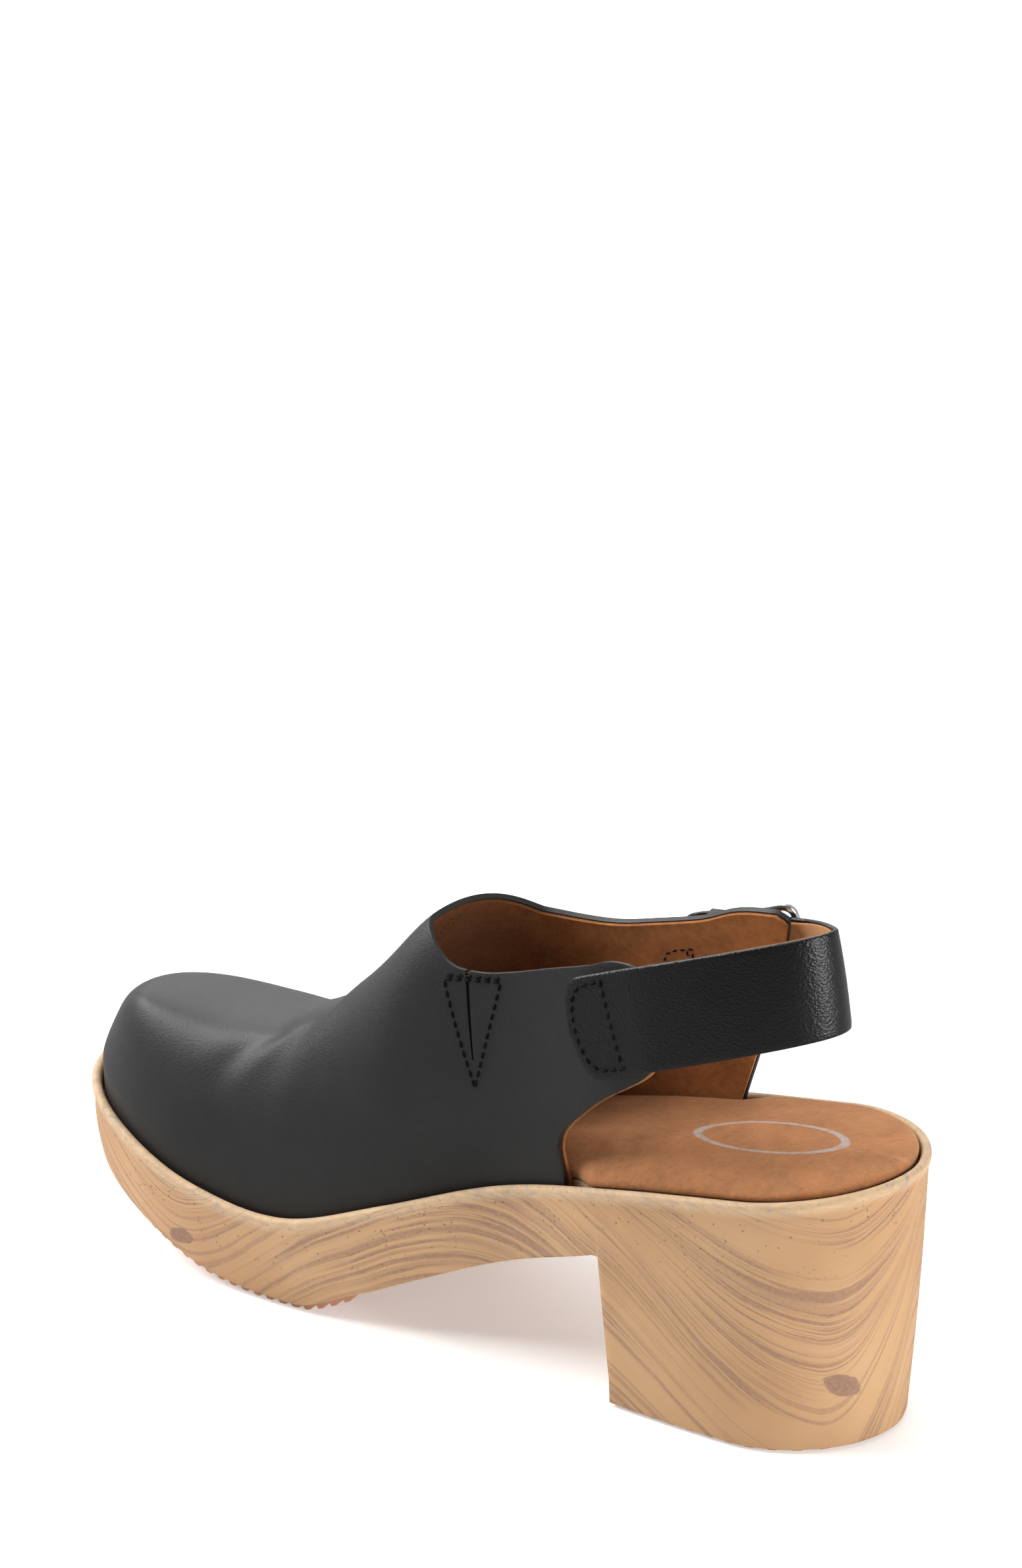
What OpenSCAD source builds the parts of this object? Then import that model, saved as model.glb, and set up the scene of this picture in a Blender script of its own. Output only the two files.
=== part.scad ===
// Slingback clog for a right foot: a wood-look platform sole with a block heel,
// a closed leather upper, a padded footbed and a buckled strap behind the heel.
// Millimetres. X points to the inner side of the foot, Y to the heel, Z up.
// The origin is on the ground, under the middle of the heel's tread.
// "s" is always the distance from the back of the heel towards the toe.

/* [Sole plan] */
// Length of the sole from the back of the heel to the toe
sole_l = 250; // [244:1:256]
// Width of the sole across the heel
heel_w = 62; // [60:1:66]
// Width of the sole across the waist
waist_w = 65; // [63:1:68]
// Width of the sole across the ball
ball_w = 87; // [84:1:90]

/* [Sole heights] */
// Height of the sole's rim at the back of the heel
heel_h = 78; // [74:1:82]
// Height of the rim at the ball
ball_h = 29; // [28:1:32]
// Height of the rim at the toe
toe_h = 43; // [41:1:46]
// Height of the underside at the ball, above its tread
ball_under = 4.4; // [4.2:0.1:5]
// Height of the underside at the toe
toe_under = 22; // [20:1:24]
// Height of the underside just ahead of the heel block
arch_under = 43; // [40:1:45]

/* [Heel block] */
// Distance from the heel's back to the front face of the block
heel_block_l = 72; // [68:1:75]
// Thickness of the heel's tread
heel_tread_t = 5; // [4.5:0.5:6]

/* [Upper] */
// Height of the instep at the throat
throat_h = 117.5; // [116:0.5:120]
// Distance from the heel's back to the throat
throat_s = 137; // [136:0.5:138]
// Height of the toe box
toe_box_h = 71; // [69:0.5:73]
// Thickness of the upper leather
leather_t = 1.4; // [1.2:0.1:1.5]
// Thickness of the suede lining
lining_t = 0.9; // [0.7:0.1:1]

/* [Footbed] */
// Width of the raised lip round the sole
lip_w = 3; // [2.5:0.1:3.2]
// Depth of the sole's recess below the lip
recess_d = 6.2; // [6.2:0.1:7]
// How far the heel's tread stands out below the sole's wall
heel_tread_out = 0.9; // [0.8:0.1:1.4]
// How far the forefoot tread stands out below the sole's wall
ball_tread_out = 1.9; // [1.6:0.1:2.2]
// Thickness of the insole board
board_t = 2.4; // [2:0.1:2.4]
// Height of the padding's crown above the lip
crown_h = 2.6; // [2.3:0.1:3.2]

/* [Strap and buckle] */
// Width of the heel strap
strap_w = 27; // [25:0.5:27]
// Thickness of the strap leather
strap_t = 1.3; // [1.1:0.1:1.4]
// Diameter of the buckle's bars
bar_d = 2.2; // [2:0.1:2.4]
// Length of the buckle between its two bars
buckle_l = 17; // [16:0.5:18]

/* [Hidden] */
$fn = 48;
gap = 0.1;                       // air left between flat pieces that only touch
curved_gap = 0.2;                // the same, between curved pieces
eps = 0.01;
origin_s = 37.5;                 // the origin's distance from the heel's back

// Half widths of the sole, [part of the length, half width], heel to toe
inner_w = [[0, 0.5 * heel_w], [0.3, 0.51 * heel_w], [0.44, 0.45 * waist_w],
    [0.58, 0.43 * ball_w], [0.74, 0.46 * ball_w], [1, 0.4 * ball_w]];
outer_w = [[0, 0.5 * heel_w], [0.3, 0.53 * heel_w], [0.44, 0.56 * waist_w],
    [0.58, 0.49 * ball_w], [0.74, 0.53 * ball_w], [1, 0.42 * ball_w]];
heel_round = 36.5;               // length of the rounded heel end
heel_round_n = 1.85;
toe_round = 57;                  // length of the rounded toe end
toe_round_n = 2.55;

// Height of the rim along the sole: it falls from heel to ball, then rises
heel_drop = heel_h - ball_h;
toe_rise = toe_h - ball_h;
rim = [[0, heel_h], [0.16, heel_h - 0.15 * heel_drop], [0.32, heel_h - 0.33 * heel_drop],
    [0.44, heel_h - 0.53 * heel_drop], [0.56, heel_h - 0.77 * heel_drop], [0.68, ball_h],
    [0.8, ball_h + 0.1 * toe_rise], [0.91, ball_h + 0.6 * toe_rise], [1, toe_h]];

// Height of the underside, ahead of the heel block
arch_s = heel_block_l + 6;
under = [[arch_s, arch_under], [100, 0.77 * arch_under], [130, 0.43 * arch_under],
    [160, ball_under + 1], [177, ball_under], [195, ball_under + 1.6],
    [220, 0.58 * toe_under], [sole_l, toe_under]];

// Inset of the sole's bottom edge from its rim: the block leans in at its back
bottom_in = [[0, 4.3], [9, 3.2], [36, 0.8], [arch_s, 0.8], [110, 3], [160, 4], [220, 3], [sole_l, 2]];

// Ridge of the upper: height and sideways place
fan_s = 225;
ridge_h = [[60, throat_h + 31.5], [90, throat_h + 26.5], [115, throat_h + 15.3], [throat_s, throat_h],
    [155, throat_h - 21.8], [180, toe_box_h + 1.9], [fan_s, toe_box_h]];
ridge_x_back = 7.7;
ridge_x_toe = 19;

// Height of the collar along the foot, behind the throat
inner_collar = [[64, 121], [70, 123.8], [78, 123.8], [86, 120.5], [97, 116.3], [108, 112],
    [116, 109.8], [126, 109.4]];
outer_collar = [[48, 130], [64, 126], [75, 120], [90, 114.3], [102, 110.5], [113, 109.5], [126, 110.3]];
collar_bend_s = 122;             // where the collar starts to turn into the throat
inner_bend_n = 2.15;             // the bend is an ellipse with this power, 2 being round
outer_bend_n = 1.6;

// Rear edges of the two quarters, [part of the wall's height, distance]
inner_edge = [[0, 89], [0.13, 91.3], [0.21, 89.8], [0.29, 83.5], [0.4, 71.8], [0.48, 66.3], [0.58, 63.4],
    [0.86, 65.5], [1, 72]];
outer_edge = [[0, 67], [0.25, 61.5], [0.93, 49], [1, 52]];

tread_in = 1.6;                  // inset of the treads from the sole's bottom edge
tread_back = 150;                // where the forefoot tread starts

margin_w = 13;                   // lasting margin turned in under the board
lip_gap = 0.45;                  // between the lip and the upper's wall
foam_gap = leather_t + lining_t + 1.9;

// ---------- functions ----------

// Smooth curve through knots [place, value]
function curve(k, x) =
    let (n = len(k) - 1)
    x <= k[0][0] ? k[0][1] : x >= k[n][0] ? k[n][1] :
    let (i = max([for (j = [0:n - 1]) if (k[j][0] <= x) j]),
         h = k[i + 1][0] - k[i][0],
         t = (x - k[i][0]) / h,
         a = slope(k, i) * h,
         b = slope(k, i + 1) * h)
    (2 * t * t * t - 3 * t * t + 1) * k[i][1] + (t * t * t - 2 * t * t + t) * a
    + (3 * t * t - 2 * t * t * t) * k[i + 1][1] + (t * t * t - t * t) * b;
function slope(k, i) =
    let (a = max(i - 1, 0), b = min(i + 1, len(k) - 1))
    (k[b][1] - k[a][1]) / (k[b][0] - k[a][0]);

function clamp01(x) = max(0, min(1, x));
function round_end(x, n) = pow(max(0, 1 - pow(clamp01(1 - x), n)), 1 / n);
function world_y(s) = origin_s - s;

// Half width of the sole; side is 1 on the inner side and -1 on the outer
function half_w(s, side) =
    curve(side > 0 ? inner_w : outer_w, s / sole_l)
    * round_end(s / heel_round, heel_round_n)
    * round_end((sole_l - s) / toe_round, toe_round_n);

// Point of the plan outline, moved in by inset
function plan(s, side, inset = 0) =
    let (ds = 0.02,
         a = max(s - ds, eps),
         b = min(s + ds, sole_l - eps),
         dw = (half_w(b, side) - half_w(a, side)) / (b - a),
         len = norm([1, dw]))
    [side * (half_w(s, side) - inset / len), world_y(s) - inset * dw / len];

function rim_h(s) = curve(rim, s / sole_l);
function under_h(s) = s < arch_s - 2 ? heel_tread_t : curve(under, s);

function at(xy, z) = [xy[0], xy[1], z];
// Place over the plan point xy, at height dz over the sole's rim there
function on_rim(xy, dz) = [xy[0], xy[1], rim_h(origin_s - xy[1]) + dz];

// Stations along the sole, close together where the ends are round
function round_end_s(step, length) = [for (a = [6:step:90]) length * (1 - cos(a))];
heel_s = round_end_s(12, heel_round);
toe_s = [for (r = round_end_s(12, toe_round)) sole_l - r];
function reversed(v) = [for (i = [len(v) - 1:-1:0]) v[i]];
body_s = [for (s = [43:7:64]) s];
front_s = [for (s = [84:6:186]) s];
sole_stations = concat(heel_s, body_s, [heel_block_l, arch_s], front_s, reversed(toe_s));
bed_stations = concat(heel_s, [for (s = [42:6:186]) s], reversed(toe_s));

// Two triangles over four points, split along the shorter diagonal
function quad(p, a, b, c, d) = norm(p[a] - p[c]) < norm(p[b] - p[d]) ?
    [[a, b, c], [a, c, d]] : [[b, c, d], [b, d, a]];

// Closed solid through rings of points. Point k of a ring faces point n-1-k,
// and the two ends are closed by strips between facing points.
module skin(rings) {
    pts = [for (r = rings) each r];
    n = len(rings[0]);
    last = (len(rings) - 1) * n;
    sides = [for (i = [0:len(rings) - 2], k = [0:n - 1])
        let (a = i * n + k, b = i * n + (k + 1) % n) each quad(pts, a, b, b + n, a + n)];
    first_end = [for (k = [0:n / 2 - 2]) each quad(pts, k, n - 1 - k, n - 2 - k, k + 1)];
    last_end = [for (k = [0:n / 2 - 2])
        each quad(pts, last + k, last + k + 1, last + n - 2 - k, last + n - 1 - k)];
    polyhedron(pts, concat(sides, first_end, last_end), convexity = 8);
}

// ---------- sole ----------

// Thickness of the forefoot tread, thinner towards both ends
function ball_tread_t(s) = (ball_under - gap)
    * min(0.36 + 0.64 * clamp01((s - tread_back) / 16), 1 - 0.55 * clamp01((s - 200) / 40));
// How far the sole's wall reaches down round the treads
function skirt_h(s) = s < arch_s - 2 ? heel_tread_t - heel_tread_out
                                     : max(0.5, ball_tread_t(s) - ball_tread_out);

// One side of the sole at s: up from the recess, over the lip and down outside
function sole_side(s, side) =
    let (r = rim_h(s),
         u = under_h(s),
         b = curve(bottom_in, s),
         above = [[lip_w, -recess_d], [lip_w, -0.8], [lip_w / 2 + 0.2, 0], [0.4, -2], [0.2, -5.2]],
         skirt = u - skirt_h(s),
         below = [[0.45 * b + 0.3, (r + u) / 2], [b, skirt + 1], [b + 0.8, skirt], [b + 1.1, skirt + 0.3],
             [b + 1.1, u]])
    concat([for (p = above) on_rim(plan(s, side, p[0]), p[1])],
        [for (p = below) at(plan(s, side, p[0]), p[1])]);

module sole_unit() {
    color("burlywood")
        difference() {
            skin([for (s = sole_stations) concat(sole_side(s, -1), reversed(sole_side(s, 1)))]);
            heel_core_shape(0.15, heel_h + 5);
        }
}

// Hard block inside the heel, a tapered plug that carries the load
module heel_core_shape(grow, top) {
    back = 18;
    front = 56;
    wide = 34;
    low = 14;
    translate([-wide / 2 - grow, world_y(front) - grow, low - grow])
        cube([wide + 2 * grow, front - back + 2 * grow, top - low + grow]);
}

module heel_core() {
    color("ivory") heel_core_shape(0, rim_h(58) - recess_d - 1);
}

// Lower edge of a toothed strip seen from the side: a slope and a flat land
// in each pitch
land_from = 0.45;
land_to = 0.8;
function teeth(s0, s1, pitch, depth, low) = [for (s = [s0:pitch:s1 - pitch])
    each [[s, low(s) + depth], [s + land_from * pitch, low(s + land_from * pitch)],
        [s + land_to * pitch, low(s + land_to * pitch)]]];

module side_profile(points, width) {
    rotate([90, 0, -90])
        translate([-origin_s, 0, -width / 2])
            linear_extrude(width) polygon(points);
}

module plan_prism(stations, inset, height) {
    outline = concat([for (s = stations) plan(s, -1, inset(s))],
        [for (s = reversed(stations)) plan(s, 1, inset(s))]);
    linear_extrude(height) polygon(outline);
}

module heel_tread() {
    pitch = 5.6;
    depth = 1.4;
    // a tooth's flat land lies over the origin
    back = origin_s - (6 + (land_from + land_to) / 2) * pitch;
    front = heel_block_l - 0.5;
    stations = concat(round_end_s(6, heel_round), [for (s = [42:6:66]) s], [front]);
    color("sienna")
        intersection() {
            side_profile(concat(teeth(back, front, pitch, depth, function(s) 0),
                [[front, 0.3], [front, heel_tread_t - gap], [back, heel_tread_t - gap]]), 2 * heel_w);
            plan_prism(stations, function(s) curve(bottom_in, s) + tread_in, heel_tread_t);
        }
}

module forefoot_tread() {
    pitch = 4;
    depth = 1.2;
    back = tread_back;
    front = 240;
    toe_part = [for (r = reversed(round_end_s(6, toe_round))) if (sole_l - r < front) sole_l - r];
    stations = concat([for (s = [back:6:190]) s], toe_part, [front]);
    low = function(s) under_h(s) - gap - ball_tread_t(s);
    top = [for (s = [front:-4:back]) [s, under_h(s) - gap]];
    color("sienna")
        intersection() {
            side_profile(concat(teeth(back, front, pitch, depth, low), top), 2 * ball_w);
            plan_prism(stations, function(s) curve(bottom_in, s) + tread_in + 0.4, 40);
        }
}

// ---------- footbed ----------

// How far the insole pieces stay in from the rim: the upper's wall needs room
function bed_inset(s, side) =
    let (edge = side > 0 ? 88 : 66)
    lip_w + gap + foam_gap * clamp01((s - edge + 8) / 8);

// Flat ring across the shoe between two heights over the rim
function slab_ring(outer, inner, low, high) =
    [on_rim(outer, low), on_rim(outer, high), on_rim(inner, high), on_rim(inner, low)];

board_top = -0.9;                // heights below the rim
board_low = board_top - board_t;
shank_t = 1.5;
rivet_s = [44, 118];
rivet_d = 4;

module insole_board() {
    color("tan")
        difference() {
            skin([for (s = bed_stations)
                slab_ring(plan(s, -1, bed_inset(s, -1) + 0.4), plan(s, 1, bed_inset(s, 1) + 0.4),
                    board_low, board_top)]);
            rivet_holes();
        }
}

// Square to the board, with Z = 0 on its underside
module on_board(s) {
    tilt = atan((rim_h(s - 2) - rim_h(s + 2)) / 4);
    translate([0, world_y(s), rim_h(s) + board_low]) rotate([tilt, 0, 0]) children();
}

module rivet_holes() {
    for (s = rivet_s)
        on_board(s) translate([0, 0, -5]) cylinder(d = rivet_d, h = 10);
}

// Spring steel strip under the board, from the heel seat to the ball
module shank() {
    low = function(s) rim_h(s) + board_low - gap - shank_t;
    line = [for (s = [30:6:138]) s];
    edge = concat([for (s = line) [s, low(s) + shank_t]], [for (s = reversed(line)) [s, low(s)]]);
    color("silver")
        difference() {
            side_profile(edge, 13);
            rivet_holes();
        }
}

module shank_rivets() {
    head_t = 0.7;
    under_shank = -shank_t - 2 * gap;
    color("gray")
        for (s = rivet_s)
            on_board(s) {
                translate([0, 0, under_shank]) cylinder(d = rivet_d - gap, h = board_t - under_shank - 0.5);
                translate([0, 0, under_shank - head_t]) cylinder(d = 1.6 * rivet_d, h = head_t + eps);
            }
}

module bottom_filler() {
    inset = margin_w + lip_w + 2;
    color("peru")
        skin([for (s = [144:6:222])
            slab_ring(plan(s, -1, inset), plan(s, 1, inset), 0.7 - recess_d, board_low - curved_gap)]);
}

// Padding on the board: domed across, rounded at its edge
pad_profile = [[0, board_top + gap], [0, 0.5], [2.2, 1.6], [8, crown_h - 0.4]];
// The padding swells under the arch of the foot and thins out on the other side
inner_swell = [[0, 1], [50, 1.1], [105, 2.5], [165, 1]];
outer_swell = [[0, 0.6], [60, 0.5], [100, 0.15], [140, 0.3], [170, 0.8]];
function pad_side(s, side, grow, lift) =
    let (swell = curve(side > 0 ? inner_swell : outer_swell, s))
    [for (q = pad_profile)
        on_rim(plan(s, side, bed_inset(s, side) + grow + q[0]), q[1] > 0 ? q[1] * swell + lift : q[1])];
function pad_ring(s, grow, lift) =
    concat(pad_side(s, -1, grow, lift), reversed(pad_side(s, 1, grow, lift)));

cover_t = 1;

module footbed_foam() {
    color("wheat")
        skin([for (s = bed_stations) pad_ring(s, cover_t + 4 * curved_gap, -2 * curved_gap)]);
}

// Suede sheet over the padding, turned down round its edge
module sock_cover() {
    ring = function(s)
        let (o = pad_ring(s, 0, cover_t + curved_gap), i = pad_ring(s, cover_t + curved_gap, curved_gap))
        concat([i[3], i[2], i[1], i[0]], o, [i[7], i[6], i[5], i[4]]);
    color("chocolate") skin([for (s = bed_stations) ring(s)]);
}

// ---------- upper ----------

function ridge(s) = let (t = min(s, fan_s), f = clamp01((t - 60) / (fan_s - 60)))
    [ridge_x_back + (ridge_x_toe - ridge_x_back) * f, world_y(t), curve(ridge_h, t)];

// Point on the upper: a is 0 at the rim and 90 on the ridge, d is the depth
// below the outer surface
function upper_point(s, side, a, d) =
    let (foot = plan(s, side, lip_w + lip_gap + d),
         top = ridge(s),
         f = clamp01((s - 130) / (fan_s - 130)),
         p = 1.96 - 0.14 * f,
         q = 2.09 + 0.33 * f,
         in = pow(cos(a), 2 / p),
         up = pow(sin(a), 2 / q),
         r = on_rim(foot, 0)[2])
    [top[0] + (foot[0] - top[0]) * in, top[1] + (foot[1] - top[1]) * in, r + (top[2] - d - r) * up];

// Angle at which the wall reaches the collar
function collar_angle(s, side) =
    let (side_h = curve(side > 0 ? inner_collar : outer_collar, s),
         r = rim_h(s),
         f = clamp01((side_h - r) / (ridge(s)[2] - r)),
         a = asin(pow(f, 1.045)),
         u = clamp01((s - collar_bend_s) / (throat_s - collar_bend_s)),
         n = side > 0 ? inner_bend_n : outer_bend_n)
    s >= throat_s ? 90 : a + (90 - a) * (1 - pow(1 - pow(u, n), 1 / n));

// Columns from the inner rear edge round the toe to the outer rear edge.
// Each is [side, kind, value]: kind 0 is behind the throat with value the part
// of the way to it, kind 1 is ahead of it with value the station.
rear_cols = [for (i = [0:9]) [0, sin(9 * i)]];
front_cols = concat([for (s = [throat_s:11.3:fan_s - 3]) [1, s]], [[1, fan_s]],
    [for (a = [72, 54, 38, 24, 12]) [1, sole_l - (sole_l - fan_s) * (1 - sin(90 - a))]]);
half_cols = concat(rear_cols, front_cols);
tip_col = [[1, sole_l - eps]];

function column_s(col, side, f) = col[0] == 1 ? col[1] :
    let (e = curve(side > 0 ? inner_edge : outer_edge, f)) e + (throat_s - e) * col[1];

wall_rows = 8;

// One column of points from the rim up to the ridge or the collar
function wall_column(col, side, d) = [for (j = [0:wall_rows])
    let (f = j / wall_rows, s = column_s(col, side, f)) upper_point(s, side, f * collar_angle(s, side), d)];

// Two points below the wall: the lasting margin is turned in by "turn" at
// depth "low" under the rim, and a sheet with no margin just ends there
function margin_points(col, side, d, low, turn) =
    let (s = column_s(col, side, 0), e = lip_w + lip_gap + d)
    turn > 0 ? [on_rim(plan(s, side, e + turn - d), -low), on_rim(plan(s, side, e), -low)]
             : [on_rim(plan(s, side, e), -low), on_rim(plan(s, side, e), -low / 2)];

// Sheet between depths d0 and d1, from column "first" to the toe and, when
// both is true, back along the other side
module sheet(first, side, both, d0, d1, low0, low1, turn) {
    cols = [for (i = [first:len(half_cols) - 1]) half_cols[i]];
    half = concat(cols, tip_col);
    n_half = len(half);
    all_cols = both ? concat([for (c = half) [c, side]], [for (c = reversed(cols)) [c, -side]])
                    : [for (c = half) [c, side]];
    n = len(all_cols);
    outer = function(c) concat(margin_points(c[0], c[1], d0, low0, turn), wall_column(c[0], c[1], d0));
    inner = function(c) concat(margin_points(c[0], c[1], d1, low1, turn), wall_column(c[0], c[1], d1));
    pts = [for (c = all_cols) each concat(outer(c), reversed(inner(c)))];
    r = wall_rows + 3;                   // points on each face of a column
    // first column ahead of the throat, and first column of the fan
    ahead = max(0, len(rear_cols) - first);
    fan = len(half_cols) - 6 - first;
    // columns ahead of the throat share their ridge point with the other side
    partner = function(i) i < n_half ? i : n - 1 - i;
    joined = function(i) partner(i) >= ahead;
    top_col = function(i) joined(i) ? min(partner(i), fan) : i;
    id = function(i, k) (k == r - 1 || k == r) ? top_col(i) * 2 * r + k : i * 2 * r + k;
    strips = [for (i = [0:n - 2], k = [0:2 * r - 1])
        if (!(both && k == r - 1 && joined(i) && joined(i + 1)))
            let (k2 = (k + 1) % (2 * r))
            each quad(pts, id(i, k), id(i, k2), id(i + 1, k2), id(i + 1, k))];
    ends = [for (k = [0:r - 2]) each concat(
        quad(pts, id(0, k), id(0, 2 * r - 1 - k), id(0, 2 * r - 2 - k), id(0, k + 1)),
        quad(pts, id(n - 1, k), id(n - 1, k + 1), id(n - 1, 2 * r - 2 - k), id(n - 1, 2 * r - 1 - k)))];
    faces = [for (t = concat(strips, ends)) if (t[0] != t[1] && t[1] != t[2] && t[0] != t[2]) t];
    turned = side > 0 ? faces : [for (t = faces) reversed(t)];
    polyhedron(pts, turned, convexity = 12);
}

between_t = 0.5;                 // pieces between the upper and its lining
between_d = leather_t + curved_gap;
lining_d = between_d + between_t + curved_gap;
upper_low = 5.7;
lining_low = 4.3;

module upper_leather() {
    slit_s = 120;
    color("dimgray")
        difference() {
            sheet(0, 1, true, 0, leather_t, upper_low, upper_low - 1.2, margin_w);
            // slit of the gore
            translate([15, world_y(slit_s) - 0.45, 86]) cube([20, 0.9, 30]);
        }
}

module lining(side) {
    translate([side * 0.03, 0, 0])
        sheet(0, side, false, lining_d, lining_d + lining_t, lining_low, lining_low - 0.65, margin_w);
}

module lining_inner() {
    color("peru") lining(1);
}

module lining_outer() {
    color("peru") lining(-1);
}

// Stiffener over the toes, between the upper and its lining
module toe_puff() {
    first = len(rear_cols) + 6;
    color("khaki") sheet(first, 1, true, between_d, between_d + between_t, 3, 3, 0);
}

// Stretch fabric behind the slit on the inner side
module gore_elastic() {
    rows = 5;
    elastic_t = 0.6 * between_t;
    ring = function(s)
        let (top = collar_angle(min(s, collar_bend_s), 1) - 1.5,
             low = 0.42 * top,
             a = [for (j = [0:rows]) low + (top - low) * j / rows])
        concat([for (v = a) upper_point(s, 1, v, between_d)],
            [for (v = reversed(a)) upper_point(s, 1, v, between_d + elastic_t)]);
    color("black") skin([for (s = [107:4:131]) ring(s)]);
}

// ---------- strap and buckle ----------

// Flat frame lying on a quarter's wall: origin, then the directions towards
// the heel, up the wall and outwards
function wall_frame(o, lean, yaw, rise) =
    let (back = [sin(yaw), cos(yaw), 0],
         flat = [cos(yaw), -sin(yaw), 0],
         up = [0, 0, cos(lean)] - sin(lean) * flat,
         out = [0, 0, sin(lean)] + cos(lean) * flat)
    [o, cos(rise) * back + sin(rise) * up, cos(rise) * up - sin(rise) * back, out];
function on_frame(f, u, v, n) = f[0] + u * f[1] + v * f[2] + n * f[3];
function other_side(p) = [-p[0], p[1], p[2]];

module place(f) {
    multmatrix([for (i = [0:2]) [f[1][i], f[2][i], f[3][i], f[0][i]]]) children();
}
module place_inner() place(inner_frame) children();
module place_outer() mirror([1, 0, 0]) place(outer_frame) children();

swing_s = 81;                    // both ends of the strap turn about this place
swing_z = 106.4;
inner_gap = 0.9;                 // air under each end that lets the strap swing
outer_gap = 1.4;
inner_frame = wall_frame([25.4 + inner_gap, world_y(swing_s), swing_z], 8.8, 3, 24);
outer_frame = wall_frame([25.5 + outer_gap, world_y(68.7), 103], 17.5, 1.6, 10.4);

lining_strap_t = 0.8;
chape_t = 1.2;
bar_n = chape_t + bar_d / 2 + 0.1;             // height of the hinge bar over the wall
strap_lift = 2 * bar_n + chape_t - 1.15;       // strap clears the folded chape
tape_t = 0.25;
layer_gap = 0.12;
tape_n0 = lining_strap_t + layer_gap;
leather_n0 = tape_n0 + tape_t + layer_gap;
strap_top_n = leather_n0 + strap_t;
tail_lift = 2 * chape_t + 0.75;                // height of the strap's tail over the wall

// Middle line of the strap: [point, up, out, half width]
d_end = 7;                       // length of the rounded front end
d_end_u = 1.8;                   // where it starts
function end_width(x, r) = strap_w / 2 * pow(max(0, 1 - pow(clamp01(x / r), 2.6)), 1 / 2.6);
inner_part = [for (u = [-5.2, -4.9, -3.8, -1.8, 0.8, 4, 9, 15])
    [on_frame(inner_frame, u, 0, 0), inner_frame[2], inner_frame[3], end_width(d_end_u - u, d_end + 0.03)]];
function lift_at(u) = strap_lift - (strap_lift - tail_lift) * clamp01((-u - 2) / 10);
outer_part = [for (u = [18.7, 14, 8, 0, -2, -7, -10, -13, -15.5, -17.5, -18.8, -19.4])
    [other_side(on_frame(outer_frame, u, 0, lift_at(u))), other_side(outer_frame[2]),
     other_side(outer_frame[3]), end_width(-u - 7.5, 12)]];

// Free part of the strap, from one wall round the back of the heel to the other
back_s = 25.9;
back_z = 124.3;
function bezier(p, t) =
    pow(1 - t, 3) * p[0] + 3 * t * pow(1 - t, 2) * p[1] + 3 * t * t * (1 - t) * p[2] + t * t * t * p[3];
function unit(v) = v / norm(v);
back_point = [1, world_y(back_s), back_z];
back_dir = unit([-0.866, -0.5, -0.395]);       // it falls and turns forward here
back_up = unit([0, -0.176, 1]);
back_out = unit(cross(back_dir, back_up));
function free_part(from, from_dir, to, to_dir, up0, up1) = [for (t = [1 / 12:1 / 12:0.99])
    let (p = [from, from + from_dir, to - to_dir, to],
         here = bezier(p, t),
         ahead = bezier(p, t + 0.01),
         up = unit((1 - t) * up0 + t * up1),
         out = unit(cross(unit(ahead - here), up)))
    [here, up, out, strap_w / 2]];
inner_start = inner_part[len(inner_part) - 1];
outer_start = outer_part[0];
strap_line = concat(inner_part,
    free_part(inner_start[0], 8.7 * inner_frame[1], back_point, 20.2 * back_dir, inner_start[1], back_up),
    [[back_point, back_up, back_out, strap_w / 2]],
    free_part(back_point, 11.3 * back_dir, outer_start[0], -4.8 * other_side(outer_frame[1]),
        back_up, outer_start[1]),
    outer_part);

// Layer of the strap between heights n0 and n1 over its inner face
module strap_layer(line, n0, n1, narrow) {
    across = [-1, -0.33, 0.33, 1];
    ring = function(l)
        let (h = max(0.3, l[3] - narrow))
        concat([for (v = across) l[0] + v * h * l[1] + n1 * l[2]],
            [for (v = reversed(across)) l[0] + v * h * l[1] + n0 * l[2]]);
    skin([for (l = line) ring(l)]);
}

hole_d = 3;
module strap_holes() {
    place_outer() {
        // the prong's hole is drawn out so that the prong can lift through it
        for (u = [0.4, 9.8])
            translate([u, 0, 0]) cylinder(d = hole_d + 0.4, h = 20);
        translate([0.4, -hole_d / 2 - 0.2, 0]) cube([9.4, hole_d + 0.4, 20]);
        for (u = [-9.6, -15])
            translate([u, 0, 2]) cylinder(d = hole_d, h = 12);
    }
}

module strap_leather() {
    color("dimgray")
        difference() {
            strap_layer(strap_line, leather_n0, strap_top_n, 0);
            strap_holes();
        }
}

module strap_tape() {
    color("white")
        difference() {
            strap_layer(strap_line, tape_n0, tape_n0 + tape_t, 5);
            strap_holes();
        }
}

module strap_lining() {
    color("peru")
        difference() {
            strap_layer(strap_line, 0, lining_strap_t, 0.3);
            strap_holes();
        }
}

// Small straight stitches along a D: a straight back and a round front
module d_stitches(back, front, half_h, n) {
    stitch = [2.4, 0.5, 0.3];
    steps = 9;
    run = back - front;
    curve_pts = [for (i = [0:2 * steps]) let (a = -90 + 90 * i / steps)
        [back - run * pow(cos(a), 0.4), half_h * sin(a)]];
    line_pts = [for (i = [1:7]) [back, half_h * (1 - 2 * i / 8)]];
    pts = concat(curve_pts, line_pts);
    for (i = [0:len(pts) - 1]) {
        p = pts[i];
        q = pts[(i + 1) % len(pts)];
        mid = (p + q) / 2;
        turn = atan2(q[1] - p[1], q[0] - p[0]);
        translate([mid[0], mid[1], n + stitch[2] / 2]) rotate([0, 0, turn])
            cube([min(stitch[0], norm(q - p) - 0.3), stitch[1], stitch[2]], center = true);
    }
}

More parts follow.
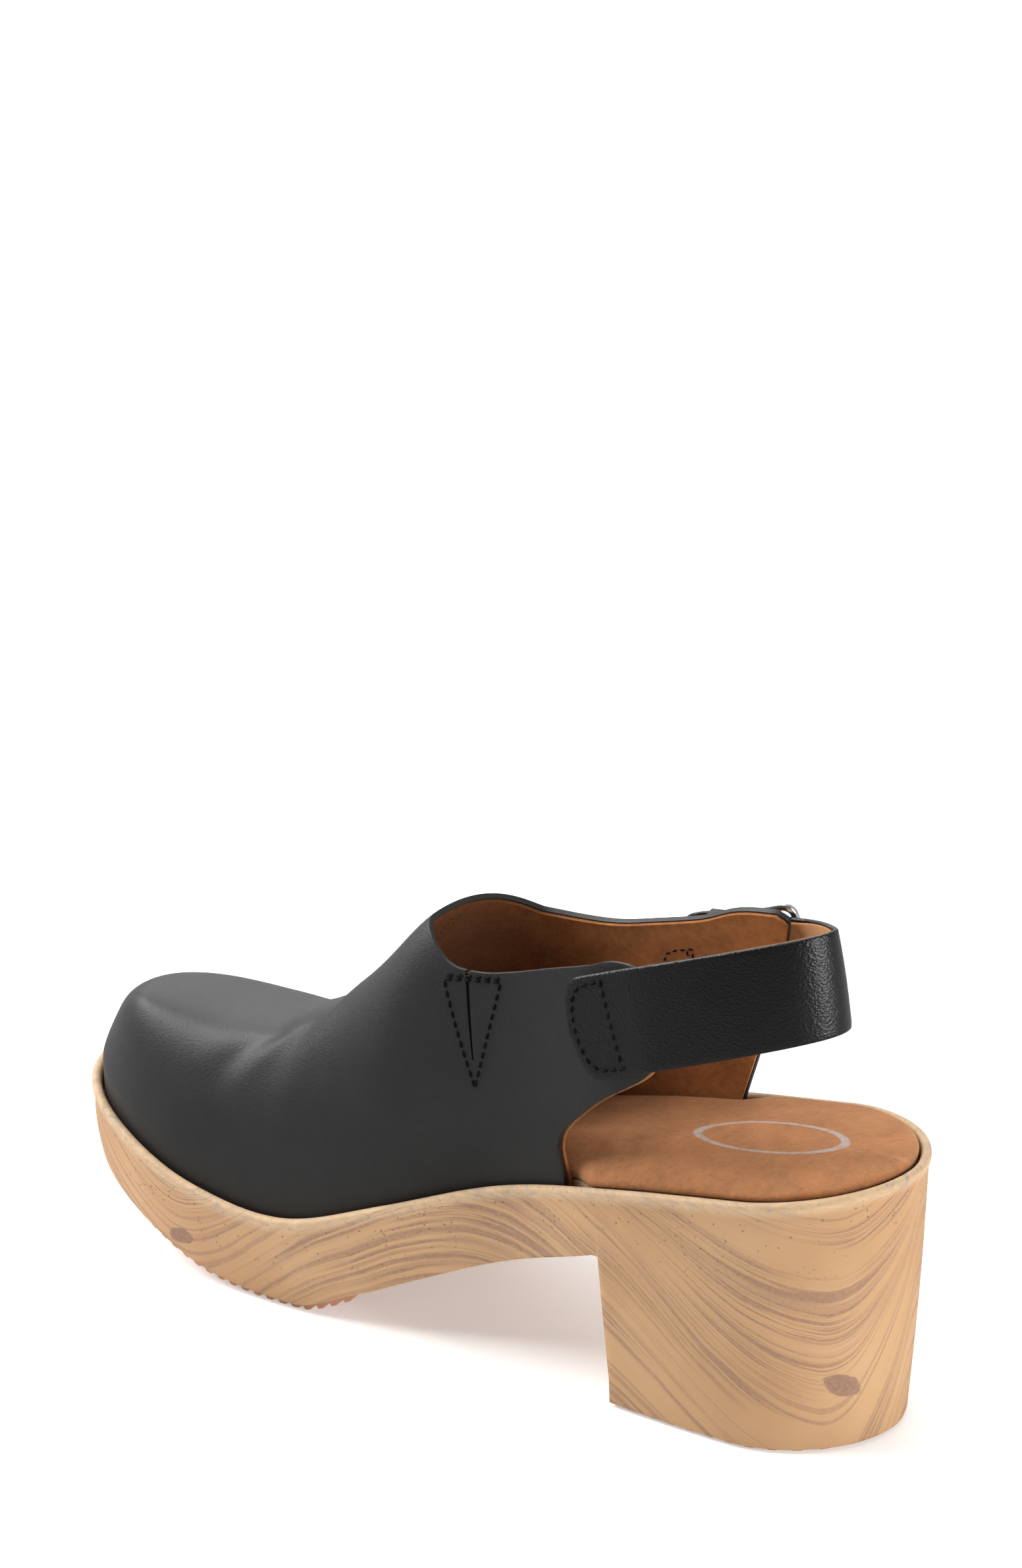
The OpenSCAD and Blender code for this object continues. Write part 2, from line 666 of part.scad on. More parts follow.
module strap_stitching() {
    color("black") place_inner() d_stitches(7.8, -3.4, strap_w / 2 - 2.2, strap_top_n + 0.02);
}

bar_gap = 0.05;
half_open = strap_w / 2 + 1.2;
frame_rise = asin((strap_lift + strap_top_n + bar_d / 2 + 0.55 - bar_n) / buckle_l);

// Frame seen flat: a rounded ring, with one round bar at its front
module buckle_frame() {
    ring_t = bar_d;
    r = 3;
    outer_h = half_open + bar_d;
    color("silver")
        place_outer() translate([0, 0, bar_n]) rotate([0, -frame_rise, 0]) {
            translate([0, 0, -ring_t / 2]) linear_extrude(ring_t) difference() {
                rounded([-bar_d / 2, -outer_h], [buckle_l + bar_d / 2, outer_h], r);
                rounded([-5, -half_open], [buckle_l - bar_d / 2, half_open], r / 2);
            }
            rotate([90, 0, 0]) cylinder(d = bar_d, h = 2 * half_open + 1, center = true);
        }
}

module rounded(low, high, r) {
    translate(low) square_rounded(high - low, r);
}
module square_rounded(size, r) {
    translate([r, 0]) square([size[0] - 2 * r, size[1]]);
    translate([0, r]) square([size[0], size[1] - 2 * r]);
    for (x = [r, size[0] - r], y = [r, size[1] - r])
        translate([x, y]) circle(r = r);
}

// Prong hinged on the frame's bar, its tip resting over the far bar
module buckle_prong() {
    eye_w = 4;
    eye_r = bar_d / 2 + 1;
    tip_n = bar_d + 0.1;
    arm = norm([buckle_l + 1.6, tip_n]);
    color("silver")
        place_outer() translate([0, 0, bar_n]) rotate([0, -frame_rise, 0])
            difference() {
                union() {
                    rotate([90, 0, 0]) cylinder(r = eye_r, h = eye_w, center = true);
                    rotate([0, 90 - atan(tip_n / buckle_l), 0]) cylinder(d = 2, h = arm);
                }
                rotate([90, 0, 0]) cylinder(r = bar_d / 2 + bar_gap, h = eye_w + 1, center = true);
            }
}

// Leather tab folded round the hinge bar and stitched down ahead of it
chape_w = 21;
chape_front = -22;
module buckle_chape() {
    in_r = bar_d / 2 + bar_gap;
    out_r = in_r + chape_t;
    meet = -12;
    inner_layer = [[chape_front, 0.05], [0, bar_n - out_r], [0, bar_n - in_r], [chape_front, 0.05 + chape_t]];
    outer_layer = [[chape_front, 2 * chape_t + 0.15], [chape_front, chape_t + 0.15], [meet, chape_t + 0.25],
        [0, bar_n + in_r], [0, bar_n + out_r], [meet, 2 * chape_t + 0.25]];
    color("black")
        place_outer() intersection() {
            difference() {
                rotate([90, 0, 0]) {
                    linear_extrude(chape_w, center = true) polygon(inner_layer);
                    linear_extrude(chape_w, center = true) polygon(outer_layer);
                    linear_extrude(chape_w, center = true) translate([0, bar_n]) intersection() {
                        difference() {
                            circle(r = out_r);
                            circle(r = in_r);
                        }
                        translate([-eps, -out_r]) square([out_r + 1, 2 * out_r]);
                    }
                }
                translate([-3.4, -2.5, -1]) cube([12, 5, 10]);
            }
            union() {
                translate([chape_front / 2, -chape_w, -2]) cube([40, 2 * chape_w, 14]);
                translate([chape_front / 2, 0, -2]) cylinder(r = -chape_front / 2, h = 14);
            }
        }
}

module chape_stitching() {
    color("black") place_outer() d_stitches(-12.4, -20.3, 7.5, 2 * chape_t + 0.3);
}

// Leather loop round the tail and the chape's outer layer
module keeper_loop() {
    keeper_t = 0.6;
    long = 3.6;
    open_w = strap_w + 1;
    low = 2.25;
    high = lift_at(-3.7) + strap_top_n + gap;
    color("black")
        place_outer() translate([-5.5, 0, (low + high) / 2]) rotate([0, -6, 0])
            difference() {
                cube([long, open_w + 2 * keeper_t, high - low + 2 * keeper_t], center = true);
                cube([long + 1, open_w, high - low], center = true);
            }
}

sole_unit();
heel_core();
heel_tread();
forefoot_tread();
insole_board();
shank();
shank_rivets();
bottom_filler();
footbed_foam();
sock_cover();
upper_leather();
toe_puff();
gore_elastic();
lining_inner();
lining_outer();
strap_leather();
strap_tape();
strap_lining();
strap_stitching();
buckle_frame();
buckle_prong();
buckle_chape();
chape_stitching();
keeper_loop();
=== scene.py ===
import math

import bmesh
import bpy
import numpy as np
from mathutils import Matrix, Vector


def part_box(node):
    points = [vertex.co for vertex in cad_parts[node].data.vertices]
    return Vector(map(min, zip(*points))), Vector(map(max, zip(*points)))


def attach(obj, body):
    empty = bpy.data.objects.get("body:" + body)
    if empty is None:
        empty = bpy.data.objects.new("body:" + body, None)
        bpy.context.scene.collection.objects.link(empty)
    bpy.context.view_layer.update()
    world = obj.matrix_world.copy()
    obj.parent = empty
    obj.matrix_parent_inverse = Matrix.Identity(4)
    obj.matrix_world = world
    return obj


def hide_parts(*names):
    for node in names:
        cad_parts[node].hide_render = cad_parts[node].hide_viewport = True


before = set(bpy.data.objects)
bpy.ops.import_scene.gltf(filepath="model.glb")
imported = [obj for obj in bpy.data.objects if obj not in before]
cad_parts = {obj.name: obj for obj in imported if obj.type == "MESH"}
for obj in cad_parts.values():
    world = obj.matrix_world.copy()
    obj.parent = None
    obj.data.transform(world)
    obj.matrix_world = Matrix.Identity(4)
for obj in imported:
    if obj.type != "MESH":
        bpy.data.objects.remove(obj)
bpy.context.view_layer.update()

# Slingback clog: the looks of the CAD model. Lengths are in millimetres until
# a mesh is made. "s" is the distance from the back of the heel towards the
# toe; side is 1 on the inner side of the foot and -1 on the outer side.

MM = 0.001

# ---------- main sizes, the same as in the CAD design ----------

ORIGIN_S = 37.5
SOLE_L = 250
HEEL_H = 78
BALL_H = HEEL_H - 49
TOE_H = HEEL_H - 35
TREAD_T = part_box("heel_tread")[1].z / MM + 0.1
THROAT_S = 137
FAN_S = 225

# ---------- the design's shape ----------

INNER_W = [[0, 31], [0.3, 31.6], [0.44, 29.25], [0.58, 37.4], [0.74, 40], [1, 34.8]]
OUTER_W = [[0, 31], [0.3, 32.9], [0.44, 36.4], [0.58, 42.6], [0.74, 46.1], [1, 36.5]]
HEEL_ROUND, HEEL_ROUND_N = 36.5, 1.85
TOE_ROUND, TOE_ROUND_N = 57, 2.55
DROP, RISE = HEEL_H - BALL_H, TOE_H - BALL_H
RIM = [[0, HEEL_H], [0.16, HEEL_H - 0.15 * DROP], [0.32, HEEL_H - 0.33 * DROP],
       [0.44, HEEL_H - 0.53 * DROP], [0.56, HEEL_H - 0.77 * DROP], [0.68, BALL_H],
       [0.8, BALL_H + 0.1 * RISE], [0.91, BALL_H + 0.6 * RISE], [1, TOE_H]]
BREAST_LOW, BREAST_TOP = 72, 76.2
UNDER = [[78, 43], [100, 33.1], [130, 18.5], [160, 5.4], [177, 4.4], [195, 6], [220, 12.8], [250, 22]]
BALL_TREAD_T = 4.3
TREAD_BACK = 150
BOTTOM_IN = [[0, 4.3], [9, 3.2], [36, 0.8], [78, 0.8], [110, 3], [160, 4], [220, 3], [250, 2]]
LIP_W = 3
LIP_GAP = 0.45
RECESS_D = 6.2
BOARD_TOP = -0.9
LEATHER_T = 1.4
LINING_T = 0.9
LINING_D = 2.3
MARGIN_W = 13

RIDGE_H = [[60, 149], [90, 144], [115, 132.8], [THROAT_S, 117.5], [155, 95.7], [180, 72.9], [FAN_S, 71]]
INNER_COLLAR = [[64, 121], [70, 123.8], [78, 123.8], [86, 120.5], [97, 116.3], [108, 112],
                [116, 109.8], [126, 109.4]]
OUTER_COLLAR = [[48, 130], [64, 126], [75, 120], [90, 114.3], [102, 110.5], [113, 109.5], [126, 110.3]]
COLLAR_BEND_S = 122
INNER_BEND_N, OUTER_BEND_N = 2.15, 1.6
INNER_EDGE = [[0, 89], [0.13, 91.3], [0.21, 89.8], [0.29, 83.5], [0.4, 71.8], [0.48, 66.3], [0.58, 63.4],
              [0.86, 65.5], [1, 72]]
OUTER_EDGE = [[0, 67], [0.25, 61.5], [0.93, 49], [1, 52]]


def curve(knots, x):
    """Smooth curve through knots [place, value], level beyond its ends."""
    xs, ys = np.array(knots, float).T
    slope = np.empty_like(ys)
    slope[1:-1] = (ys[2:] - ys[:-2]) / (xs[2:] - xs[:-2])
    slope[0] = (ys[1] - ys[0]) / (xs[1] - xs[0])
    slope[-1] = (ys[-1] - ys[-2]) / (xs[-1] - xs[-2])
    x = np.clip(x, xs[0], xs[-1])
    i = np.clip(np.searchsorted(xs, x, side="right") - 1, 0, len(xs) - 2)
    h = xs[i + 1] - xs[i]
    t = (x - xs[i]) / h
    return ((2 * t**3 - 3 * t**2 + 1) * ys[i] + (t**3 - 2 * t**2 + t) * h * slope[i]
            + (3 * t**2 - 2 * t**3) * ys[i + 1] + (t**3 - t**2) * h * slope[i + 1])


def round_end(x, n):
    """Rounded end as a part of the full width, x from 0 at the tip to 1."""
    return np.maximum(0, 1 - np.clip(1 - x, 0, 1) ** n) ** (1 / n)


def half_w(s, side):
    """Half width of the sole at s."""
    s = np.clip(s, 0, SOLE_L)
    width = curve(INNER_W if side > 0 else OUTER_W, s / SOLE_L)
    heel_end = round_end(s / HEEL_ROUND, HEEL_ROUND_N)
    toe_end = round_end((SOLE_L - s) / TOE_ROUND, TOE_ROUND_N)
    return width * heel_end * toe_end


def plan(s, side, inset=0.0):
    """Point of the plan outline (x, y), moved in by inset."""
    s = np.asarray(s, float)
    a = np.maximum(s - 0.02, 0.005)
    b = np.minimum(s + 0.02, SOLE_L - 0.005)
    slope = (half_w(b, side) - half_w(a, side)) / (b - a)
    length = np.sqrt(1 + slope**2)
    x = side * (half_w(s, side) - inset / length)
    return np.stack(np.broadcast_arrays(x, ORIGIN_S - s - inset * slope / length), -1)


def rim_h(s):
    return curve(RIM, np.asarray(s, float) / SOLE_L)


def under_h(s):
    """Height of the underside: the heel block, its front face, then the arch."""
    part = np.clip((s - BREAST_LOW) / (BREAST_TOP - BREAST_LOW), 0, 1)
    return TREAD_T + (curve(UNDER, s) - TREAD_T) * part


def skirt_low(s):
    """Lower edge of the sole's wall, which reaches down round the treads."""
    tread = BALL_TREAD_T * np.minimum(0.36 + 0.64 * np.clip((s - TREAD_BACK) / 16, 0, 1),
                                      1 - 0.55 * np.clip((s - 200) / 40, 0, 1))
    front = np.clip(tread - 1.9, 0.0, None)
    return under_h(s) - np.where(s < BREAST_LOW, TREAD_T - 0.9, front)


def at(xy, z):
    return np.concatenate([xy, np.broadcast_to(z, xy.shape[:-1])[..., None]], -1)


def on_rim(xy, dz):
    """Points over the plan points xy, dz above the sole's rim there."""
    return at(xy, rim_h(ORIGIN_S - xy[..., 1]) + dz)


def end_stations(length, step):
    """Stations of a rounded end, close together where it turns."""
    return length * (1 - np.cos(np.radians(np.arange(step / 2, 90, step))))


def ridge(s):
    """Ridge line of the upper."""
    t = np.minimum(s, FAN_S)
    f = np.clip((t - 60) / (FAN_S - 60), 0, 1)
    return np.stack([7.7 + (19 - 7.7) * f, ORIGIN_S - t, curve(RIDGE_H, t)], -1)


# Powers of the wall's section, a superellipse: across it and up it. Each grows
# a little from the waist towards the toe.
SECTION_START_S = 130
ACROSS_N, ACROSS_GROWTH = 1.96, 0.04
UP_N, UP_GROWTH = 2.09, 0.2


def section_powers(s):
    part = np.clip((s - SECTION_START_S) / (FAN_S - SECTION_START_S), 0, 1)
    return ACROSS_N + ACROSS_GROWTH * part, UP_N + UP_GROWTH * part


def upper_point(s, side, a, d=0.0):
    """Point on the upper: a is 0 at the rim and 90 on the ridge, d is the
    depth below the outer surface."""
    s, a, d = np.broadcast_arrays(np.asarray(s, float), np.asarray(a, float), np.asarray(d, float))
    foot = plan(s, side, LIP_W + LIP_GAP + d)
    low = rim_h(ORIGIN_S - foot[..., 1])
    top = ridge(s)
    across_n, up_n = section_powers(s)
    inward = np.cos(np.radians(a)).clip(0) ** (2 / across_n)
    upward = np.sin(np.radians(a)).clip(0) ** (2 / up_n)
    xy = top[..., :2] + (foot - top[..., :2]) * inward[..., None]
    return at(xy, low + (top[..., 2] - d - low) * upward)


def collar_angle(s, side):
    """Angle at which the wall reaches the collar."""
    s = np.asarray(s, float)
    low = rim_h(s)
    collar = curve(INNER_COLLAR if side > 0 else OUTER_COLLAR, s)
    part = np.clip((collar - low) / (ridge(s)[..., 2] - low), 0, 1)
    a = np.degrees(np.arcsin(part ** (UP_N / 2)))
    u = np.clip((s - COLLAR_BEND_S) / (THROAT_S - COLLAR_BEND_S), 0, 1)
    n = INNER_BEND_N if side > 0 else OUTER_BEND_N
    return np.where(s >= THROAT_S, 90, a + (90 - a) * (1 - (1 - u**n) ** (1 / n)))


def wall_at(side, s, z, d=0.0):
    """Point of the upper's wall at the real distance s and height z."""
    s = np.asarray(s, float)
    station = s.copy()
    for _ in range(4):
        low = rim_h(station)
        top = ridge(station)[..., 2]
        part = np.clip((z - low) / (top - low), 0, 1)
        a = np.degrees(np.arcsin(part ** (section_powers(station)[1] / 2)))
        station = station + (s - (ORIGIN_S - upper_point(station, side, a, d)[..., 1]))
    return upper_point(station, side, a, d)


def unit(v):
    return v / np.linalg.norm(v, axis=-1, keepdims=True)


# ---------- meshes ----------

def make_object(name, bm, sharp=None):
    """Object from a bmesh in millimetres, smooth but for edges over sharp degrees."""
    bmesh.ops.scale(bm, vec=(MM, MM, MM), verts=bm.verts)
    for face in bm.faces:
        face.smooth = True
    if sharp:
        for edge in bm.edges:
            if len(edge.link_faces) == 2 and edge.calc_face_angle(0) > math.radians(sharp):
                edge.smooth = False
    mesh = bpy.data.meshes.new(name)
    bm.to_mesh(mesh)
    bm.free()
    obj = bpy.data.objects.new(name, mesh)
    bpy.context.scene.collection.objects.link(obj)
    return obj


def grid_faces(rows, cols, close_rows=False, close_cols=False):
    """Quads over a grid of rows x cols points, row after row."""
    last_i = rows if close_rows else rows - 1
    last_j = cols if close_cols else cols - 1
    return [(i * cols + j, i * cols + (j + 1) % cols,
             (i + 1) % rows * cols + (j + 1) % cols, (i + 1) % rows * cols + j)
            for i in range(last_i) for j in range(last_j)]


def to_bmesh(points, faces, values=None, merge=0.002):
    """bmesh from points, faces and named float values per point."""
    bm = bmesh.new()
    layers = [bm.verts.layers.float.new(name) for name in (values or {})]
    verts = [bm.verts.new(p) for p in np.asarray(points, float).reshape(-1, 3)]
    for layer, numbers in zip(layers, (values or {}).values()):
        for vert, number in zip(verts, np.ravel(numbers)):
            vert[layer] = number
    for face in faces:
        if len(set(face)) > 2:
            bm.faces.new([verts[k] for k in face])
    bmesh.ops.remove_doubles(bm, verts=bm.verts, dist=merge)
    bmesh.ops.recalc_face_normals(bm, faces=bm.faces)
    return bm


def point_outward(bm, centre):
    """Turns an open sheet so that its faces look away from centre."""
    away = sum((face.calc_center_median() - Vector(centre)).dot(face.normal) for face in bm.faces)
    if away < 0:
        bmesh.ops.reverse_faces(bm, faces=bm.faces)


def thicken(obj, thickness, bevel):
    """Gives a sheet its thickness below its face, with rounded edges."""
    solid = obj.modifiers.new("thickness", "SOLIDIFY")
    solid.thickness = thickness * MM
    solid.offset = -1
    solid.use_even_offset = True
    solid.use_quality_normals = True
    round_edges(obj, bevel, 50, 3)
    return obj


def round_edges(obj, width, angle, segments):
    """Rounds the edges that turn by more than angle degrees."""
    edge = obj.modifiers.new("rounded edge", "BEVEL")
    edge.width = width * MM
    edge.segments = segments
    edge.limit_method = "ANGLE"
    edge.angle_limit = math.radians(angle)


def dress(obj, material):
    """Gives a piece its material."""
    obj.data.materials.clear()
    obj.data.materials.append(material)


def tube(path, radius, sides, closed=False):
    """Points and faces of a round tube along a path; radius may vary."""
    path = np.asarray(path, float)
    radius = np.broadcast_to(radius, (len(path),))
    ahead = np.roll(path, -1, 0) - np.roll(path, 1, 0) if closed else np.gradient(path, axis=0)
    ahead = unit(ahead)
    guide = np.linalg.svd(path - path.mean(0))[2][2]
    side = unit(np.cross(ahead, guide))
    up = np.cross(side, ahead)
    angle = np.arange(sides) * 2 * math.pi / sides
    ring = (np.cos(angle)[None, :, None] * side[:, None] + np.sin(angle)[None, :, None] * up[:, None])
    points = path[:, None] + ring * radius[:, None, None]
    faces = grid_faces(len(path), sides, close_rows=closed, close_cols=True)
    if not closed:
        faces += [tuple(range(sides))[::-1], tuple(range((len(path) - 1) * sides, len(path) * sides))]
    return points.reshape(-1, 3), faces


def resample(path, step, closed=False):
    """Points spaced evenly along a path, about one per step."""
    path = np.asarray(path, float)
    if closed:
        path = np.vstack([path, path[:1]])
    run = np.concatenate([[0], np.cumsum(np.linalg.norm(np.diff(path, axis=0), axis=1))])
    count = max(2, int(round(run[-1] / step)))
    places = (np.arange(count) if closed else np.arange(count) + 0.5) * run[-1] / count

    def on_path(distance):
        return np.stack([np.interp(distance, run, path[:, k]) for k in range(3)], -1)

    ahead = places + 0.1
    if closed:
        ahead = ahead % run[-1]
    return on_path(places), unit(on_path(ahead) - on_path(places - 0.1))


STITCH_L = 2.2
STITCH_W = 0.8
STITCH_PITCH = 2.75


def stitch_mesh(rows, length=STITCH_L, width=STITCH_W):
    """Rounded stitches: each row is (points, directions, normals)."""
    points, faces = [], []
    sides, steps = 6, 7
    along = np.linspace(-1, 1, steps)
    angle = np.arange(sides) * 2 * math.pi / sides
    for centres, directions, normals in rows:
        for c, d, n in zip(centres, directions, normals):
            n = unit(n - d * np.dot(n, d))
            across = np.cross(d, n)
            first = len(points)
            for t in along:
                radius = width / 2 * math.sqrt(max(0.05, 1 - abs(t) ** 3))
                middle = c + d * t * length / 2 + n * (0.25 * width - 0.45 * width * t * t)
                points += [middle + radius * (math.cos(b) * across + math.sin(b) * n) for b in angle]
            faces += [tuple(first + k for k in quad) for quad in grid_faces(steps, sides, close_cols=True)]
            faces.append(tuple(first + k for k in range(sides))[::-1])
            faces.append(tuple(first + (steps - 1) * sides + k for k in range(sides)))
    return to_bmesh(points, faces, merge=0.0001)


# ---------- node materials ----------

class Nodes:
    """Builds a node material: each call adds a node and joins its inputs."""

    def __init__(self, name):
        self.material = bpy.data.materials.new(name)
        self.material.use_nodes = True
        self.tree = self.material.node_tree
        self.tree.nodes.clear()

    def add(self, kind, output=0, settings=None, **inputs):
        node = self.tree.nodes.new("ShaderNode" + kind)
        for key, value in (settings or {}).items():
            setattr(node, key, value)
        for key, value in inputs.items():
            numbered = key[0] == "i" and key[1:].isdigit()
            socket = node.inputs[int(key[1:]) if numbered else key.replace("_", " ")]
            if isinstance(value, bpy.types.NodeSocket):
                self.tree.links.new(value, socket)
            else:
                socket.default_value = value
        return node.outputs[output]

    def position(self, scale=(1, 1, 1)):
        place = self.add("TexCoord", output=3)
        return self.add("Mapping", Vector=place, Scale=scale)

    def value(self, name):
        return self.add("Attribute", output=2, settings={"attribute_name": name})

    def math(self, operation, a, b=0.0, c=0.0):
        return self.add("Math", settings={"operation": operation}, i0=a, i1=b, i2=c)

    def noise(self, vector, scale, detail=3.0, rough=0.55, distortion=0.0):
        return self.add("TexNoise", Vector=vector, Scale=scale, Detail=detail, Roughness=rough,
                        Distortion=distortion)

    def cells(self, vector, scale):
        return self.add("TexVoronoi", Vector=vector, Scale=scale)

    def ramp(self, value, stops):
        """Grey ramp: stops are (place, brightness)."""
        return self.colour_ramp(value, [(place, (g, g, g)) for place, g in stops])

    def colour_ramp(self, value, stops):
        node = self.tree.nodes.new("ShaderNodeValToRGB")
        ramp = node.color_ramp
        while len(ramp.elements) < len(stops):
            ramp.elements.new(0.5)
        for element, (place, colour) in zip(ramp.elements, stops):
            element.position = place
            element.color = (*colour, 1)
        self.tree.links.new(value, node.inputs[0])
        return node.outputs[0]

    def mix(self, factor, a, b):
        node = self.tree.nodes.new("ShaderNodeMix")
        node.data_type = "RGBA"
        for socket, value in ((node.inputs[0], factor), (node.inputs[6], a), (node.inputs[7], b)):
            if isinstance(value, bpy.types.NodeSocket):
                self.tree.links.new(value, socket)
            else:
                socket.default_value = value if isinstance(value, float) else (*value, 1)
        return node.outputs[2]

    def bump(self, height, distance, strength=1.0, normal=None):
        inputs = {"Height": height, "Distance": distance, "Strength": strength}
        if normal is not None:
            inputs["Normal"] = normal
        return self.add("Bump", **inputs)

    def surface(self, **inputs):
        shader = self.add("BsdfPrincipled", **inputs)
        output = self.tree.nodes.new("ShaderNodeOutputMaterial")
        self.tree.links.new(shader, output.inputs[0])
        return self.material


# ---------- materials ----------

BLACK = (0.006, 0.0058, 0.0056)
STRAP_BLACK = (0.0025, 0.0024, 0.0024)
LINING_SUEDE = (0.34, 0.135, 0.046)
FOOTBED_SUEDE = (0.355, 0.145, 0.058)


def leather(name, pebble, gloss, sheen, base):
    """Smooth dyed leather: fine pebbles and pores under a soft finish."""
    n = Nodes(name)
    place = n.position()
    cell = n.cells(n.position((1, 1, 1.3)), 1350)
    fine = n.noise(place, 1900, 4)
    broad = n.noise(place, 28, 4, 0.6)
    height = n.math("MULTIPLY_ADD", cell, pebble, fine)
    rough = n.math("MULTIPLY_ADD", broad, 0.1, 0.47 - gloss)
    tone = n.colour_ramp(broad, [(0.3, base), (0.75, tuple(1.9 * c for c in base))])
    wave = n.bump(n.noise(place, 75, 3, 0.6), 0.00038 * (1 - pebble), 0.35)
    return n.surface(Base_Color=tone, Roughness=rough, Specular_IOR_Level=0.5 - 0.6 * gloss,
                     Sheen_Weight=sheen, Sheen_Roughness=0.45,
                     Normal=n.bump(height, 0.00013 + 0.00007 * pebble, 0.6, wave))


def suede(name, base, mark=False, inside=False):
    """Brushed suede: soft nap with lighter and darker patches. Inside the shoe
    painted shade darkens it towards the toe."""
    n = Nodes(name)
    place = n.position()
    nap = n.noise(place, 1500, 6, 0.75)
    tufts = n.noise(place, 420, 5, 0.7, 0.3)
    patch = n.noise(place, 45, 5, 0.62, 0.4)
    tone = n.colour_ramp(n.math("MULTIPLY_ADD", patch, 0.6, n.math("MULTIPLY", tufts, 0.4)), [
        (0.33, tuple(0.55 * c for c in base)), (0.5, base), (0.68, tuple(min(1, 1.4 * c) for c in base))])
    if mark:
        # plain oval ring, printed in worn grey
        ring = n.math("ABSOLUTE", n.math("SUBTRACT", n.value("oval"), 1.0))
        worn = n.ramp(tufts, [(0.33, 0.35), (0.5, 0.95)])
        band = n.math("MULTIPLY", n.ramp(ring, [(0.05, 1), (0.075, 0)]), worn)
        tone = n.mix(band, tone, (0.42, 0.39, 0.37))
    sheen = 0.5
    if inside:
        # painted shade: deeper inside, towards the toe, the lining's colour darkens to a dark red-brown
        along = n.add("SeparateXYZ", output=1, Vector=place)
        reach = n.add("MapRange", Value=along, From_Min=(ORIGIN_S - 145) * MM,
                      From_Max=(ORIGIN_S - 105) * MM)
        tone = n.mix(reach, n.mix(0.75, tone, (0.045, 0.006, 0.001)), tone)
        sheen = 0.15
    height = n.math("MULTIPLY_ADD", tufts, 1.2, nap)
    return n.surface(Base_Color=tone, Roughness=0.95, Specular_IOR_Level=0.1,
                     Sheen_Weight=sheen, Sheen_Roughness=0.5, Sheen_Tint=(1.0, 0.64, 0.38, 1),
                     Normal=n.bump(height, 0.00045, 0.8))


WOOD = (0.435, 0.25, 0.118)
WOOD_LIGHT = (0.51, 0.312, 0.16)
GRAIN_DARK = (0.235, 0.13, 0.09)


# Place of a grain line on the ramp of bold lines: its level over the span of
# levels, moved up by the middle
BAND_SPAN, BAND_MIDDLE = 140, 0.45


def grain_bands():
    """Stops of the bold grain lines: [level of the line, half width, strength]."""
    lines = [(-27, 0.8, 0.5), (-21, 0.5, 0.7), (-13, 1.1, 0.9), (-8, 0.6, 0.7), (-3, 0.4, 0.5),
             (11, 0.8, 1.0), (14.2, 0.45, 0.8), (31, 0.5, 0.8), (35, 0.3, 0.5), (46, 0.6, 0.8)]
    stops = [(0, 0)]
    for level, half, strength in lines:
        middle = level / BAND_SPAN + BAND_MIDDLE
        edge = half / BAND_SPAN
        stops += [(middle - edge, 0), (middle, strength), (middle + edge, 0)]
    return stops


def grain(n, place):
    """How dark the printed grain is: fine lines in groups, bold lines with
    breaks in them, a few long streaks and the knots."""
    run = n.value("run")
    wobble = n.math("MULTIPLY_ADD", n.noise(place, 16, 3), 3.0,
                    n.math("MULTIPLY", n.noise(place, 130, 2), 0.55))
    level = n.math("ADD", n.value("level"), wobble)

    def streaks(across, along, seed, stops, detail=2.0, rough=0.5):
        stretched = n.add("CombineXYZ", X=n.math("MULTIPLY", level, across),
                          Y=n.math("MULTIPLY", run, along), Z=seed)
        return n.ramp(n.noise(stretched, 1.0, detail, rough), stops)

    fine = streaks(0.85, 0.014, 3.0, [(0.53, 0), (0.57, 1)])
    finer = streaks(1.9, 0.03, 9.0, [(0.52, 0), (0.57, 1)])
    groups = streaks(0.085, 0.012, 5.0, [(0.47, 0.06), (0.58, 1)])
    long = streaks(0.3, 0.006, 14.0, [(0.60, 0), (0.66, 1)])
    breaks = streaks(0.5, 0.045, 2.0, [(0.3, 0.15), (0.5, 1)], 3.0, 0.55)
    lines = n.math("MULTIPLY", n.math("MAXIMUM", fine, n.math("MULTIPLY", finer, 0.6)), groups)
    bold = n.ramp(n.math("MULTIPLY_ADD", level, 1 / BAND_SPAN, BAND_MIDDLE), grain_bands())
    bold = n.math("MULTIPLY", bold, breaks)
    dark = n.math("MAXIMUM", n.math("MULTIPLY", lines, 0.8),
                  n.math("MAXIMUM", bold, n.math("MULTIPLY", long, 0.45)))
    ragged = n.math("MULTIPLY_ADD", n.noise(place, 260, 3), 0.5, n.value("knot"))
    dark = n.math("MAXIMUM", dark, n.ramp(ragged, [(0.62, 0), (0.72, 0.9), (1.0, 1.0)]))
    grit = n.ramp(n.noise(place, 900, 2), [(0.35, 0.72), (0.6, 1)])
    return n.math("MULTIPLY", dark, grit)


def pinholes(n, place):
    """Moulding pinholes, which only come near the rim; their dark colour is painted shade inside them."""
    pits = n.ramp(n.cells(place, 620), [(0.16, 1), (0.24, 0)])
    sparse = n.ramp(n.noise(place, 300, 1), [(0.50, 0), (0.56, 1)])
    shallow = n.ramp(n.value("shallow"), [(0, 0), (1, 1)])
    return n.math("MULTIPLY", n.math("MULTIPLY", pits, sparse), shallow)


